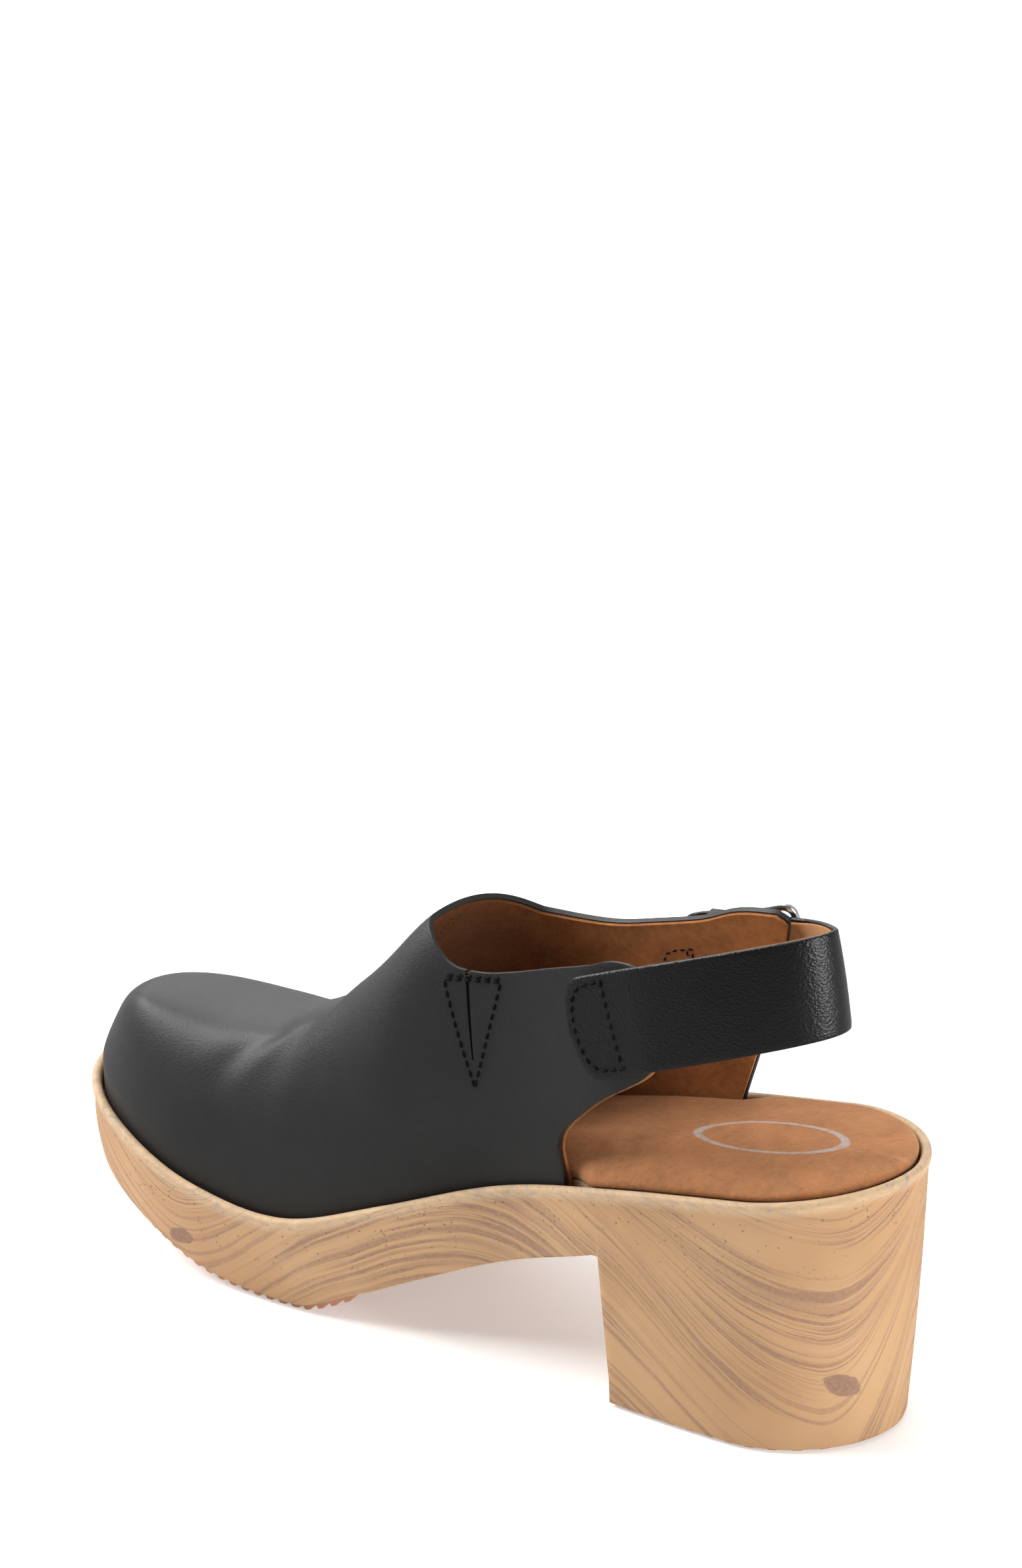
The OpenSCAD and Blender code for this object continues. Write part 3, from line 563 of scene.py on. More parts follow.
def wood_look():
    """Moulded sole printed with wood grain, its lip rubbed with paint, its pinholes darkened with painted
    shade.
    """
    n = Nodes("wood-look sole")
    place, lip = n.position(), n.value("lip")
    dark, pits = grain(n, place), pinholes(n, place)
    base = n.mix(n.ramp(n.noise(place, 22, 3), [(0.35, 0), (0.7, 1)]), WOOD, WOOD_LIGHT)
    colour = n.mix(n.math("MULTIPLY", dark, 0.95), base, GRAIN_DARK)
    # painted shade: the pinholes darkened to a deep brown
    colour = n.mix(n.math("MULTIPLY", pits, 0.7), colour, (0.11, 0.065, 0.04))
    rubbed = n.noise(n.position((1, 1, 2.2)), 190, 5, 0.65, 1.2)
    paint = n.colour_ramp(rubbed, [(0.36, (0.60, 0.50, 0.34)), (0.52, (0.55, 0.40, 0.24)),
                                   (0.62, (0.38, 0.37, 0.31)), (0.72, (0.17, 0.20, 0.22))])
    colour = n.mix(n.math("MULTIPLY", lip, 0.5), colour, paint)
    wrinkle = n.math("MULTIPLY", rubbed, lip)
    relief = n.math("MULTIPLY_ADD", n.noise(place, 500, 3), 0.12, wrinkle)
    relief = n.math("SUBTRACT", relief, n.math("MULTIPLY", n.math("ADD", dark, pits), 0.25))
    return n.surface(Base_Color=colour, Roughness=0.55, Specular_IOR_Level=0.35,
                     Normal=n.bump(relief, 0.0004, 0.5))


def rubber():
    """Brown rubber of the treads."""
    n = Nodes("tread rubber")
    place = n.position()
    broad = n.noise(place, 60, 4)
    tone = n.colour_ramp(broad, [(0.3, (0.42, 0.20, 0.11)), (0.7, (0.56, 0.29, 0.17))])
    return n.surface(Base_Color=tone, Roughness=0.72, Normal=n.bump(n.noise(place, 1400, 4), 0.0001, 0.4))


def metal(name, colour, rough, brushed):
    """Polished or brushed metal, a little uneven."""
    n = Nodes(name)
    place = n.position((1, 1, 1) if not brushed else (0.05, 1, 1))
    fine = n.noise(place, 900, 3)
    rough_map = n.math("MULTIPLY_ADD", fine, 0.12, rough - 0.05)
    return n.surface(Base_Color=(*colour, 1), Metallic=1.0, Roughness=rough_map,
                     Normal=n.bump(n.noise(place, 250, 2), 0.00003, 0.3))


def matte(name, low, high, scale, rough, bump_depth, shine=0.5):
    """Plain matt material with a mottled tone and a fine relief."""
    n = Nodes(name)
    place = n.position()
    spots = n.noise(place, scale, 5, 0.65)
    tone = n.colour_ramp(spots, [(0.35, low), (0.65, high)])
    return n.surface(Base_Color=tone, Roughness=rough, Specular_IOR_Level=shine,
                     Normal=n.bump(n.noise(place, 3 * scale, 3), bump_depth, 0.6))


def woven(name, colour, pitch):
    """Cloth or elastic with ribs across it."""
    n = Nodes(name)
    place = n.position()
    ribs = n.add("TexWave", output=1, Vector=place, Scale=1 / pitch / 6.28, Distortion=0.6, Detail=2.0)
    tone = n.mix(ribs, tuple(0.5 * c for c in colour), colour)
    return n.surface(Base_Color=tone, Roughness=0.85, Normal=n.bump(ribs, 0.00015, 0.7))


def make_materials():
    return {
        "upper": leather("black upper leather", 0.35, 0.0, 0.03, BLACK),
        "strap": leather("black strap leather", 0.9, 0.19, 0.0, STRAP_BLACK),
        "suede": suede("tan suede lining", LINING_SUEDE),
        "lining": suede("tan suede lining of the shoe", LINING_SUEDE, inside=True),
        "footbed": suede("tan suede footbed", FOOTBED_SUEDE, mark=True),
        "wood": wood_look(),
        "rubber": rubber(),
        "nickel": metal("polished nickel", (0.83, 0.83, 0.84), 0.13, False),
        "steel": metal("spring steel", (0.42, 0.43, 0.45), 0.35, True),
        "thread": matte("black thread", (0.001, 0.001, 0.001), (0.006, 0.006, 0.006), 2600, 0.7, 0.0002,
                        shine=0.15),
        "heel": matte("heel plastic", (0.70, 0.66, 0.56), (0.78, 0.74, 0.64), 120, 0.5, 0.0001),
        "board": matte("insole board", (0.30, 0.20, 0.12), (0.45, 0.33, 0.21), 700, 0.9, 0.0002),
        "cork": matte("cork filler", (0.16, 0.08, 0.035), (0.50, 0.30, 0.15), 520, 0.9, 0.0003),
        "foam": matte("padding foam", (0.72, 0.62, 0.42), (0.86, 0.78, 0.58), 900, 0.95, 0.0003),
        "stiffener": matte("toe stiffener", (0.10, 0.042, 0.018), (0.15, 0.065, 0.028), 400, 0.8, 0.0001),
        "elastic": woven("black elastic", (0.03, 0.03, 0.032), 0.0009),
        "tape": woven("nylon tape", (0.75, 0.75, 0.72), 0.0007),
    }


# ---------- sole ----------

# Level of the grain lines along the outline, [arc from the heel's back, height]:
# a trough at the heel, a peak at the waist and a second trough near the toe
GRAIN_RUN = [[-286, 40], [-215, 8], [-134, 52], [-90, 34], [-50, 58], [-3, 51], [4, 32.5], [11, 17.5],
             [20, 3], [30, 0], [54, 14], [93, 43.6], [134, 55.6], [172, 38], [216, 4], [240, 12], [286, 50]]
# The trough gets shallower for lines higher up the heel
GRAIN_DEPTH = [[-40, 0.8], [10, 1], [50, 0.45], [80, 0.35]]


def outline_arc(stations, side):
    """Arc length along the rim from the heel's back to each station."""
    fine = np.concatenate([end_stations(HEEL_ROUND, 0.5), np.arange(HEEL_ROUND, SOLE_L - TOE_ROUND, 0.5),
                           SOLE_L - end_stations(TOE_ROUND, 0.5)[::-1]])
    points = plan(fine, side)
    arc = np.concatenate([[0], np.cumsum(np.linalg.norm(np.diff(points, axis=0), axis=1))])
    return side * np.interp(stations, fine, arc)


def grain_level(run, z):
    """Which grain line passes a place: the height of that line's trough."""
    wave = curve(GRAIN_RUN, run)
    level = z - wave
    for _ in range(25):
        level = 0.5 * level + 0.5 * (z - wave * curve(GRAIN_DEPTH, level))
    return level


def sole_rows(s):
    """Inset and height of the sole's outside at s, from the recess round the
    lip and down to the middle of the underside."""
    rim, low, lean = rim_h(s), skirt_low(s), curve(BOTTOM_IN, s)
    rows = [(LIP_W, rim - RECESS_D), (LIP_W, rim - 3.5), (LIP_W - 0.05, rim - 1.8)]
    for a in np.linspace(20, 180, 9):
        rows.append((LIP_W / 2 + (LIP_W / 2 - 0.1) * math.cos(math.radians(a)),
                     rim - 1.3 + 1.3 * math.sin(math.radians(a))))
    rows += [(0.12, rim - 2.0), (0.35, rim - 2.8), (0.6, rim - 3.6)]
    round_r = 0.7
    wall_top, wall_low = rim - 4.6, low + round_r
    for part in np.linspace(0, 1, 34):
        bow = 0.75 + (lean - 0.75) * part - 0.5 * np.sin(math.pi * part)
        rows.append((bow, wall_top + (wall_low - wall_top) * part))
    for a in np.radians([30, 60, 90]):
        rows.append((lean + round_r * (1 - math.cos(a)), wall_low - round_r * math.sin(a)))
    rows += [(lean + 1.1, low), (lean + 1.3, np.minimum(low + 0.3, under_h(s))), (lean + 1.3, under_h(s))]
    return rows


LIP_ROWS = 15
FLOOR_PARTS = (0.85, 0.6, 0.3)


def sole_half(stations, side):
    """Rings of points of half the sole, from the middle of the recess's floor
    over the lip and down to the middle of the underside."""
    points = []
    for k, (inset, z) in enumerate(sole_rows(stations)):
        foot = plan(stations, side, inset)
        points.append(on_rim(foot, z - rim_h(stations)) if k < LIP_ROWS else at(foot, z))
    floor = [points[0] * np.array([part, 1, 1]) for part in FLOOR_PARTS[::-1]]
    under = [points[-1] * np.array([part, 1, 1]) for part in FLOOR_PARTS]
    return np.stack(floor + points + under, 1)


def join_halves(halves):
    """Closed shape from the rings of points of its two halves: all its points
    and its faces, with a strip of quads over each end."""
    rows = halves[0].shape[1]
    points = np.concatenate([halves[0], halves[1][:, ::-1]], 1)
    stations, ring = points.shape[:2]
    faces = grid_faces(stations, ring, close_cols=True)
    for first in (0, (stations - 1) * ring):
        last = first + ring - 1
        faces += [(first + k, first + k + 1, last - 1 - k, last - k) for k in range(rows - 1)]
    return points, faces


def sole():
    """The moulded sole, with the values that its printed look needs at each point."""
    body = np.arange(HEEL_ROUND + 0.6, BREAST_LOW - 0.5, 1.2)
    breast = np.concatenate([np.linspace(BREAST_LOW - 0.02, BREAST_TOP, 18), [BREAST_TOP + 0.4, 77.5]])
    front = np.arange(78.5, SOLE_L - TOE_ROUND - 0.4, 1.2)
    stations = np.concatenate([end_stations(HEEL_ROUND, 2), body, breast, front,
                               SOLE_L - end_stations(TOE_ROUND, 2)[::-1]])
    halves = [sole_half(stations, side) for side in (-1, 1)]
    points, faces = join_halves(halves)
    rows = halves[0].shape[1]
    run = np.concatenate([np.repeat(outline_arc(stations, side)[:, None], rows, 1) for side in (-1, 1)], 1)
    depth = rim_h(ORIGIN_S - points[..., 1]) - points[..., 2]
    first_lip = len(FLOOR_PARTS) + 3
    lip_places = [first_lip, first_lip + 2, first_lip + 9, first_lip + 12]
    lip = np.interp(np.arange(rows), lip_places, [0.3, 1, 1, 0])
    values = {
        "level": grain_level(run, points[..., 2]),
        "run": run,
        "lip": np.tile(np.concatenate([lip, lip[::-1]]), (len(stations), 1)),
        "shallow": np.interp(depth, [3, 10, 30], [1, 0.8, 0.0]),
        "knot": knots(run, points[..., 2]),
    }
    return make_object("sole", to_bmesh(points, faces, values), sharp=48)


def knots(run, z):
    """Dark knots printed in the grain: one low on the heel, one by the toe."""
    def knot(centre, radii, lean):
        along, up = run - centre[0], z - centre[1]
        x, y = along + lean * up, up - lean * along
        return np.clip(1.2 - np.sqrt((x / radii[0]) ** 2 + (y / radii[1]) ** 2), 0, 1)
    return np.maximum(knot((22, 20), (9, 4.5), 0.5), knot((221, 12.5), (7, 3.5), -0.3))


# ---------- footbed ----------

def bed_inset(s, side):
    """How far the footbed's edge lies in from the sole's: it steps in where
    the upper begins."""
    edge = 88 if side > 0 else 66
    return LIP_W + 0.1 + 4.2 * np.clip((s - edge + 8) / 8, 0, 1)


# The padding's edge: inset and height over the rim, before it swells
PAD_EDGE = [(0.5, BOARD_TOP), (0.3, -0.4), (0.15, 0.1)]
PAD_ROWS = [(0.3, 0.4), (0.9, 0.8), (1.9, 1.2), (3.6, 1.65), (6, 2.0), (9, 2.2), (13, 2.3)]
PAD_COVER_T = 0.6
FOAM_DEPTH = 1.2
# The padding swells under the arch of the foot and thins out on the other side
INNER_SWELL = [[0, 1], [50, 1.1], [105, 2.5], [165, 1]]
OUTER_SWELL = [[0, 0.6], [60, 0.5], [100, 0.15], [140, 0.3], [170, 0.8]]


def padding_half(stations, side, depth):
    """Rings of points of half the pillow, from its middle underneath to its
    middle on top."""
    inset = bed_inset(stations, side) + depth
    swell = curve(INNER_SWELL if side > 0 else OUTER_SWELL, stations)
    middle_swell = 0.5 * (curve(INNER_SWELL, stations) + curve(OUTER_SWELL, stations))
    points = [on_rim(plan(stations, side, inset + extra), dz) for extra, dz in PAD_EDGE]
    for extra, dz in PAD_ROWS:
        points.append(on_rim(plan(stations, side, inset + extra), PAD_COVER_T - depth + dz * swell))
    top = points[-1]
    rise = (middle_swell - swell) * PAD_ROWS[-1][1]
    for part in (0.75, 0.5, 0.25, 0.08):
        points.append(top * np.array([part, 1, 1]) + rise[:, None] * np.array([0, 0, 1 - part]))
    under = [points[0] * np.array([part, 1, 1]) for part in (0.3, 0.7)]
    return np.stack(under + points, 1)


def padding(name, depth):
    """The pillow of the footbed, or its core when depth is over 0."""
    stations = np.concatenate([end_stations(HEEL_ROUND, 4),
                               np.arange(HEEL_ROUND + 1, SOLE_L - TOE_ROUND, 2.5),
                               SOLE_L - end_stations(TOE_ROUND, 4)[::-1]])
    points, faces = join_halves([padding_half(stations, side, depth) for side in (-1, 1)])
    return make_object(name, to_bmesh(points, faces))


def footbed():
    """Padded suede footbed, blown up a little by a cloth simulation."""
    obj = padding("footbed_suede_cover", 0)
    smooth = obj.modifiers.new("smooth", "SUBSURF")
    smooth.levels = smooth.render_levels = 1
    apply_modifiers(obj)
    puff_up(obj, 0.0007)
    return obj


def apply_modifiers(obj):
    """Bakes the modifiers into the mesh."""
    graph = bpy.context.evaluated_depsgraph_get()
    mesh = bpy.data.meshes.new_from_object(obj.evaluated_get(graph))
    obj.modifiers.clear()
    obj.data = mesh


def puff_up(obj, cap):
    """Cloth pass: the skin is held at its lower edge and pushed out by air,
    and no point may move further than cap or inwards."""
    rest = [vert.co.copy() for vert in obj.data.vertices]
    normals = [vert.normal.copy() for vert in obj.data.vertices]
    pins = obj.vertex_groups.new(name="held")
    for vert in obj.data.vertices:
        edge_height = vert.co.z / MM - float(rim_h(ORIGIN_S - vert.co.y / MM))
        if edge_height < 0.4:
            pins.add([vert.index], 1.0, "REPLACE")
    cloth = obj.modifiers.new("cloth", "CLOTH")
    cloth.settings.vertex_group_mass = "held"
    cloth.settings.use_pressure = True
    cloth.settings.uniform_pressure_force = 4
    cloth.settings.effector_weights.gravity = 0
    cloth.settings.tension_stiffness = 15
    cloth.settings.bending_stiffness = 0.5
    for step in range(1, 21):
        bpy.context.scene.frame_set(step)
    apply_modifiers(obj)
    bpy.context.scene.frame_set(1)
    for vert, old, normal in zip(obj.data.vertices, rest, normals):
        move = vert.co - old
        out = max(0.0, min(cap, move.dot(normal)))
        vert.co = old + normal * out
    for polygon in obj.data.polygons:
        polygon.use_smooth = True


OVAL_S, OVAL_X = 44, -1
OVAL_HALF_L, OVAL_HALF_W = 21, 9


def mark_oval(obj):
    """Value 1 on the line of the plain oval printed on the heel seat."""
    layer = obj.data.attributes.new("oval", "FLOAT", "POINT")
    for vert in obj.data.vertices:
        along = (ORIGIN_S - vert.co.y / MM - OVAL_S) / OVAL_HALF_L
        across = (vert.co.x / MM - OVAL_X) / OVAL_HALF_W
        layer.data[vert.index].value = math.hypot(along, across)


# ---------- upper and lining ----------

REAR_PARTS = np.sin(np.radians(np.linspace(0, 88, 45)))
FRONT_STATIONS = np.arange(THROAT_S, FAN_S, 1.9)
FAN_STATIONS = SOLE_L - (SOLE_L - FAN_S) * (1 - np.sin(np.radians(np.linspace(0, 87, 22))))
WALL_ROWS = 60
# How far under the rim the turned-in margins lie
UPPER_LOW = 5.4
LINING_LOW = 4.0
# A point inside the upper, which its faces look away from
UPPER_MIDDLE = (0, ORIGIN_S - 150, 50)


def quarter_edge(side, part):
    """Station of the quarter's rear edge at a part of its height."""
    return curve(INNER_EDGE if side > 0 else OUTER_EDGE, part)


def wall_grid(side, depth, margin_depth, low, turn):
    """Grid of points from the quarter's rear edge to the toe tip, each column
    from the margin, turned in by turn and low under the rim, up to the collar
    or ridge. depth(s, angle, part of the height) is the depth below the outer
    surface."""
    rows = np.linspace(0, 1, WALL_ROWS + 1)
    columns = []
    for part in REAR_PARTS:
        edge = quarter_edge(side, rows)
        columns.append(edge + (THROAT_S - edge) * part)
    for s in np.concatenate([FRONT_STATIONS, FAN_STATIONS, [SOLE_L - 0.01]]):
        columns.append(np.full(WALL_ROWS + 1, s))
    s = np.array(columns)
    angle = rows[None, :] * collar_angle(s, side)
    wall = upper_point(s, side, angle, depth(s, angle, rows[None, :]))
    foot = s[:, 0]
    inset = LIP_W + LIP_GAP + margin_depth
    under = [(turn, low), (0.5 * turn, low), (0.6, low), (0.1, 0.85 * low), (0, 0.5 * low)]
    margin = [on_rim(plan(foot, side, inset + more), -down) for more, down in under]
    return np.concatenate([np.stack(margin, 1), wall], 1)


# Soft folds where the toes bend: [station on the ridge, slant in mm per degree
# down the wall, half width, depth, lowest angle]
FOLDS = [(184, 0.2, 4.6, 0.6, 35), (177, 0.24, 4.2, -0.55, 40), (168, 0.2, 5.0, 0.3, 30),
         (196, 0.12, 6.0, -0.3, 45), (160, 0.25, 5.0, -0.3, 35)]


def toe_fullness(s, angle, part):
    """Depth of the leather's face, negative where the toe stands out."""
    return -0.6 * np.clip((s - 190) / 40, 0, 1) * np.sin(np.radians(np.clip(2.6 * angle, 0, 180)))


def fold_height(point):
    """Height of the folds over the smooth leather at a point of the upper."""
    s = ORIGIN_S - point[1]
    low, top = float(rim_h(s)), float(ridge(s)[2])
    angle = math.degrees(math.asin(min(1, max(0, (point[2] - low) / (top - low)))))
    height = 0
    for station, slant, half_width, depth, lowest in FOLDS:
        off = s - station - slant * (90 - angle) - 1.2 * math.sin(math.radians(5 * angle + 3 * station))
        reach = min(1, max(0, (angle - lowest) / 25))
        height -= depth * math.exp(-(off / half_width) ** 2) * reach
    return height


def relax(bm, weight_at, passes):
    """Evens out a mesh where weight_at(point) is over 0."""
    verts = list(bm.verts)
    bm.verts.index_update()
    points = np.array([v.co for v in verts])
    weight = np.array([weight_at(p) for p in points])[:, None]
    ends = np.array([[v.index for v in e.verts] for e in bm.edges])
    degree = np.bincount(ends.ravel(), minlength=len(verts))[:, None]
    for _ in range(passes):
        near = np.zeros_like(points)
        np.add.at(near, ends[:, 0], points[ends[:, 1]])
        np.add.at(near, ends[:, 1], points[ends[:, 0]])
        points += 0.5 * weight * (near / degree - points)
    for vert, point in zip(verts, points):
        vert.co = point


def upper():
    """Black leather upper in one piece, lasted under the insole."""
    inner = wall_grid(1, toe_fullness, 0, UPPER_LOW, MARGIN_W)
    outer = wall_grid(-1, toe_fullness, 0, UPPER_LOW, MARGIN_W)
    points = np.concatenate([inner, outer[:-1][::-1]])
    bm = to_bmesh(points, grid_faces(*points.shape[:2]), merge=0.02)
    point_outward(bm, UPPER_MIDDLE)
    cut_slit(bm)

    def weight_at(point):
        s = ORIGIN_S - point[1]
        return min(1, max(0, (s - 146) / 20)) * min(1, max(0, (point[2] - float(rim_h(s)) - 7) / 12))

    relax(bm, weight_at, 160)
    bm.normal_update()
    for vert in bm.verts:
        vert.co += vert.normal * fold_height(vert.co) * min(1, max(0, (ORIGIN_S - vert.co.y - 146) / 14))
    obj = make_object("upper_black_leather", bm)
    return thicken(obj, LEATHER_T, 0.45)


SLIT_TOP = wall_at(1, 120.9, 110)
SLIT_TIP = wall_at(1, 117.3, 86)


def cut_slit(bm):
    """Cuts the narrow slit of the gore down the inner wall."""
    down = unit(SLIT_TIP - SLIT_TOP)
    across = unit(np.cross(down, [1, 0, 0]))
    half = 0.55

    def near():
        faces = []
        for face in bm.faces:
            c = face.calc_center_median()
            if c.x > 15 and abs(c.y - SLIT_TOP[1]) < 12 and c.z > SLIT_TIP[2] - 4:
                faces.append(face)
        edges = {e for f in faces for e in f.edges}
        verts = {v for f in faces for v in f.verts}
        return faces + list(edges) + list(verts)

    narrow = 0.35 * half
    left = unit(np.cross(SLIT_TIP - narrow * across - (SLIT_TOP - half * across), [1, 0, 0]))
    right = unit(np.cross(SLIT_TIP + narrow * across - (SLIT_TOP + half * across), [1, 0, 0]))
    planes = [(SLIT_TOP - half * across, left), (SLIT_TOP + half * across, right), (SLIT_TIP, down)]
    for point, normal in planes:
        bmesh.ops.bisect_plane(bm, geom=near(), dist=1e-5, plane_co=point, plane_no=normal)
    gone = []
    for face in bm.faces:
        c = np.array(face.calc_center_median())
        if c[0] > 15 and np.dot(c - planes[0][0], left) > 0 > np.dot(c - planes[1][0], right):
            if np.dot(c - SLIT_TIP, down) < 0:
                gone.append(face)
    bmesh.ops.delete(bm, geom=gone, context="FACES")


def lining(side, name):
    """One half of the suede lining, skived up to the leather at the collar."""
    def depth(s, angle, f):
        near_top = np.clip((f - 0.86) / 0.14, 0, 1)
        near_top = np.where(s < THROAT_S + 25, near_top, 0)
        return LINING_D - 0.8 * near_top**2 * (3 - 2 * near_top)
    points = wall_grid(side, depth, LINING_D, LINING_LOW, MARGIN_W)
    points[..., 0] += side * 0.02
    bm = to_bmesh(points, grid_faces(*points.shape[:2]), merge=0.01)
    point_outward(bm, UPPER_MIDDLE)
    return thicken(make_object(name, bm), LINING_T, 0.25)


def wall_normal(side, s, z, d=0.0):
    """Outward normal of the upper's wall."""
    here = wall_at(side, s, z, d)
    along = wall_at(side, np.asarray(s, float) + 0.5, z, d) - here
    upward = wall_at(side, s, np.asarray(z, float) + 0.5, d) - here
    return unit(side * np.cross(upward, along))


def stitches_on_wall(side, corners, depth, face=1, closed=False):
    """Stitch places along straight lines between (s, z) corners on a wall."""
    corners = np.asarray(corners, float)
    if closed:
        corners = np.vstack([corners, corners[:1]])
    t = np.linspace(0, len(corners) - 1, 40 * len(corners))
    s, z = (np.interp(t, np.arange(len(corners)), corners[:, k]) for k in (0, 1))
    points, directions = resample(wall_at(side, s, z, depth), STITCH_PITCH)
    normals = wall_normal(side, ORIGIN_S - points[:, 1], points[:, 2])
    return points + face * 0.02 * normals, directions, face * normals


def gore_stitching():
    """Stitched V beside the slit, with a bar of two short rows at its top."""
    tip, back_top, front_top = (116.4, 78.3), (111.0, 108.6), (127.2, 106.0)
    rows = [stitches_on_wall(1, [tip, front_top], 0),
            stitches_on_wall(1, [tip, back_top], 0),
            stitches_on_wall(1, [front_top, back_top], 0),
            stitches_on_wall(1, [(126.9, 107.1), (110.9, 109.6)], 0)]
    return make_object("gore_stitching", stitch_mesh(rows))


def gore_elastic():
    """Stretch fabric showing in the slit, behind the leather."""
    s, f = np.meshgrid(np.arange(108, 131, 1.5), np.linspace(0, 1, 16), indexing="ij")
    top = upper_point(s, 1, collar_angle(s, 1))[..., 2] - 0.3
    z = 80 + (np.minimum(top, 109.5) - 80) * f
    points = wall_at(1, s, z, 1.45)
    bm = to_bmesh(points, grid_faces(*s.shape))
    point_outward(bm, UPPER_MIDDLE)
    return thicken(make_object("gore_elastic_fabric", bm), 0.4, 0.1)


LINING_FACE = LINING_D + LINING_T


def lining_seam():
    """The lining's centre seam inside the instep: a dark tube as painted shade
    in its gap, and a row of stitches on each side."""
    corners = np.array([(137.6, 115.1), (141, 110.7), (145.1, 105.1), (148.3, 101.1), (157, 90)])
    t = np.linspace(0, len(corners) - 1, 60)
    s, z = (np.interp(t, np.arange(len(corners)), corners[:, k]) for k in (0, 1))
    line = wall_at(-1, s, z, LINING_FACE - 0.05)
    inward = -wall_normal(-1, s, z, LINING_FACE)
    across = unit(np.cross(np.gradient(line, axis=0), inward))
    rows = []
    for offset in (-1.3, 1.3):
        places, directions = resample(line + offset * across + 0.1 * inward, STITCH_PITCH)
        nearest = np.argmin(np.linalg.norm(places[:, None] - line[None], axis=2), axis=1)
        rows.append((places, directions, inward[nearest]))
    bm = stitch_mesh(rows, 1.9, 0.5)
    # dark tube along the seam, in the thread's black: painted shade of the seam's gap
    points, faces = tube(line, 0.22, 6)
    verts = [bm.verts.new(p) for p in points]
    for face in faces:
        bm.faces.new([verts[k] for k in face])
    return make_object("lining_seam_stitching_and_gap_shade", bm)


def box_stitching():
    """Box of stitches inside the outer quarter, where the buckle's tab is sewn."""
    box = [(79.6, 95.5), (79.6, 110.2), (84.6, 108.3), (87.4, 106.4), (88.7, 103.7), (88.9, 97), (85, 94)]
    rows = [stitches_on_wall(-1, box, LINING_FACE, face=-1, closed=True),
            stitches_on_wall(-1, [(81.1, 95.5), (81.1, 109.8)], LINING_FACE, face=-1)]
    return make_object("tab_stitching_inside", stitch_mesh(rows, 2.0, 0.55))


# ---------- strap and buckle ----------

STRAP_W, STRAP_T = 27, 1.3
BAR_D, BUCKLE_L, CHAPE_T = 2.2, 17, 1.2
BAR_N = CHAPE_T + BAR_D / 2 + 0.1
STRAP_LIFT = 2 * BAR_N + CHAPE_T - 1.15
TAIL_LIFT = 2 * CHAPE_T + 0.75
LEATHER_N = 1.29
STRAP_TOP = LEATHER_N + STRAP_T
FRAME_RISE = math.asin((STRAP_LIFT + STRAP_TOP + BAR_D / 2 + 0.55 - BAR_N) / BUCKLE_L)


class WallFrame:
    """Flat frame on a quarter's wall: origin, then the directions towards the
    heel, up the wall and outwards. The outer one is the mirror of an inner one."""

    def __init__(self, origin, lean, yaw, rise, side):
        lean, yaw, rise = (math.radians(v) for v in (lean, yaw, rise))
        back = np.array([math.sin(yaw), math.cos(yaw), 0])
        flat = np.array([math.cos(yaw), -math.sin(yaw), 0])
        up = np.array([0, 0, math.cos(lean)]) - math.sin(lean) * flat
        mirror = np.array([side, 1, 1])
        self.side = side
        self.origin = mirror * origin
        self.along = mirror * (math.cos(rise) * back + math.sin(rise) * up)
        self.up = mirror * (math.cos(rise) * up - math.sin(rise) * back)
        self.out = mirror * (np.array([0, 0, math.sin(lean)]) + math.cos(lean) * flat)

    def at(self, u, v, n):
        u, v, n = (np.asarray(c, float)[..., None] for c in np.broadcast_arrays(u, v, n))
        return self.origin + u * self.along + v * self.up + n * self.out

    def place(self, points):
        """Moves points given as (u, v, n) into the frame."""
        points = np.asarray(points, float)
        return self.at(points[..., 0], points[..., 1], points[..., 2])


INNER_FRAME = WallFrame([26.3, ORIGIN_S - 81, 106.4], 8.8, 3, 24, 1)
OUTER_FRAME = WallFrame([26.9, ORIGIN_S - 68.7, 103], 17.5, 1.6, 10.4, -1)


def end_width(x, length):
    """Half width of the strap at x past the start of its rounded end."""
    part = np.clip(np.asarray(x, float) / length, 0, 1)
    return STRAP_W / 2 * (1 - part**2.6).clip(0) ** (1 / 2.6)


def bezier(p, t):
    t = t[:, None]
    return (1 - t) ** 3 * p[0] + 3 * t * (1 - t) ** 2 * p[1] + 3 * t**2 * (1 - t) * p[2] + t**3 * p[3]


# The strap's ends, along the two wall frames: where each starts to round off
# and the length of its rounded part
INNER_END, INNER_END_ROUND = 1.8, 7
TAIL_END, TAIL_END_ROUND = -7.5, 12
# The middle of the strap behind the heel: its place, the way up and the way on
BACK = np.array([1, ORIGIN_S - 25.9, 124.3])
BACK_UP = unit(np.array([0, -0.176, 1]))
BACK_AHEAD = unit(np.array([-0.866, -0.5, -0.395]))


def flat_part(wall, u, lift, half):
    """Part of the strap that lies in a wall frame."""
    return wall.at(u, 0, lift), np.tile(wall.up, (len(u), 1)), np.tile(wall.out, (len(u), 1)), half


def free_part(a, a_ahead, b, b_ahead, up_a, up_b):
    """Part of the strap that hangs free, a Bezier curve from a to b."""
    t = np.linspace(0, 1, 50)
    control = [a, a + a_ahead, b - b_ahead, b]
    ahead = bezier(control, t + 0.005) - bezier(control, t - 0.005)
    ups = unit((1 - t)[:, None] * up_a + t[:, None] * up_b)
    return bezier(control, t), ups, unit(np.cross(unit(ahead), ups)), np.full(len(t), STRAP_W / 2)


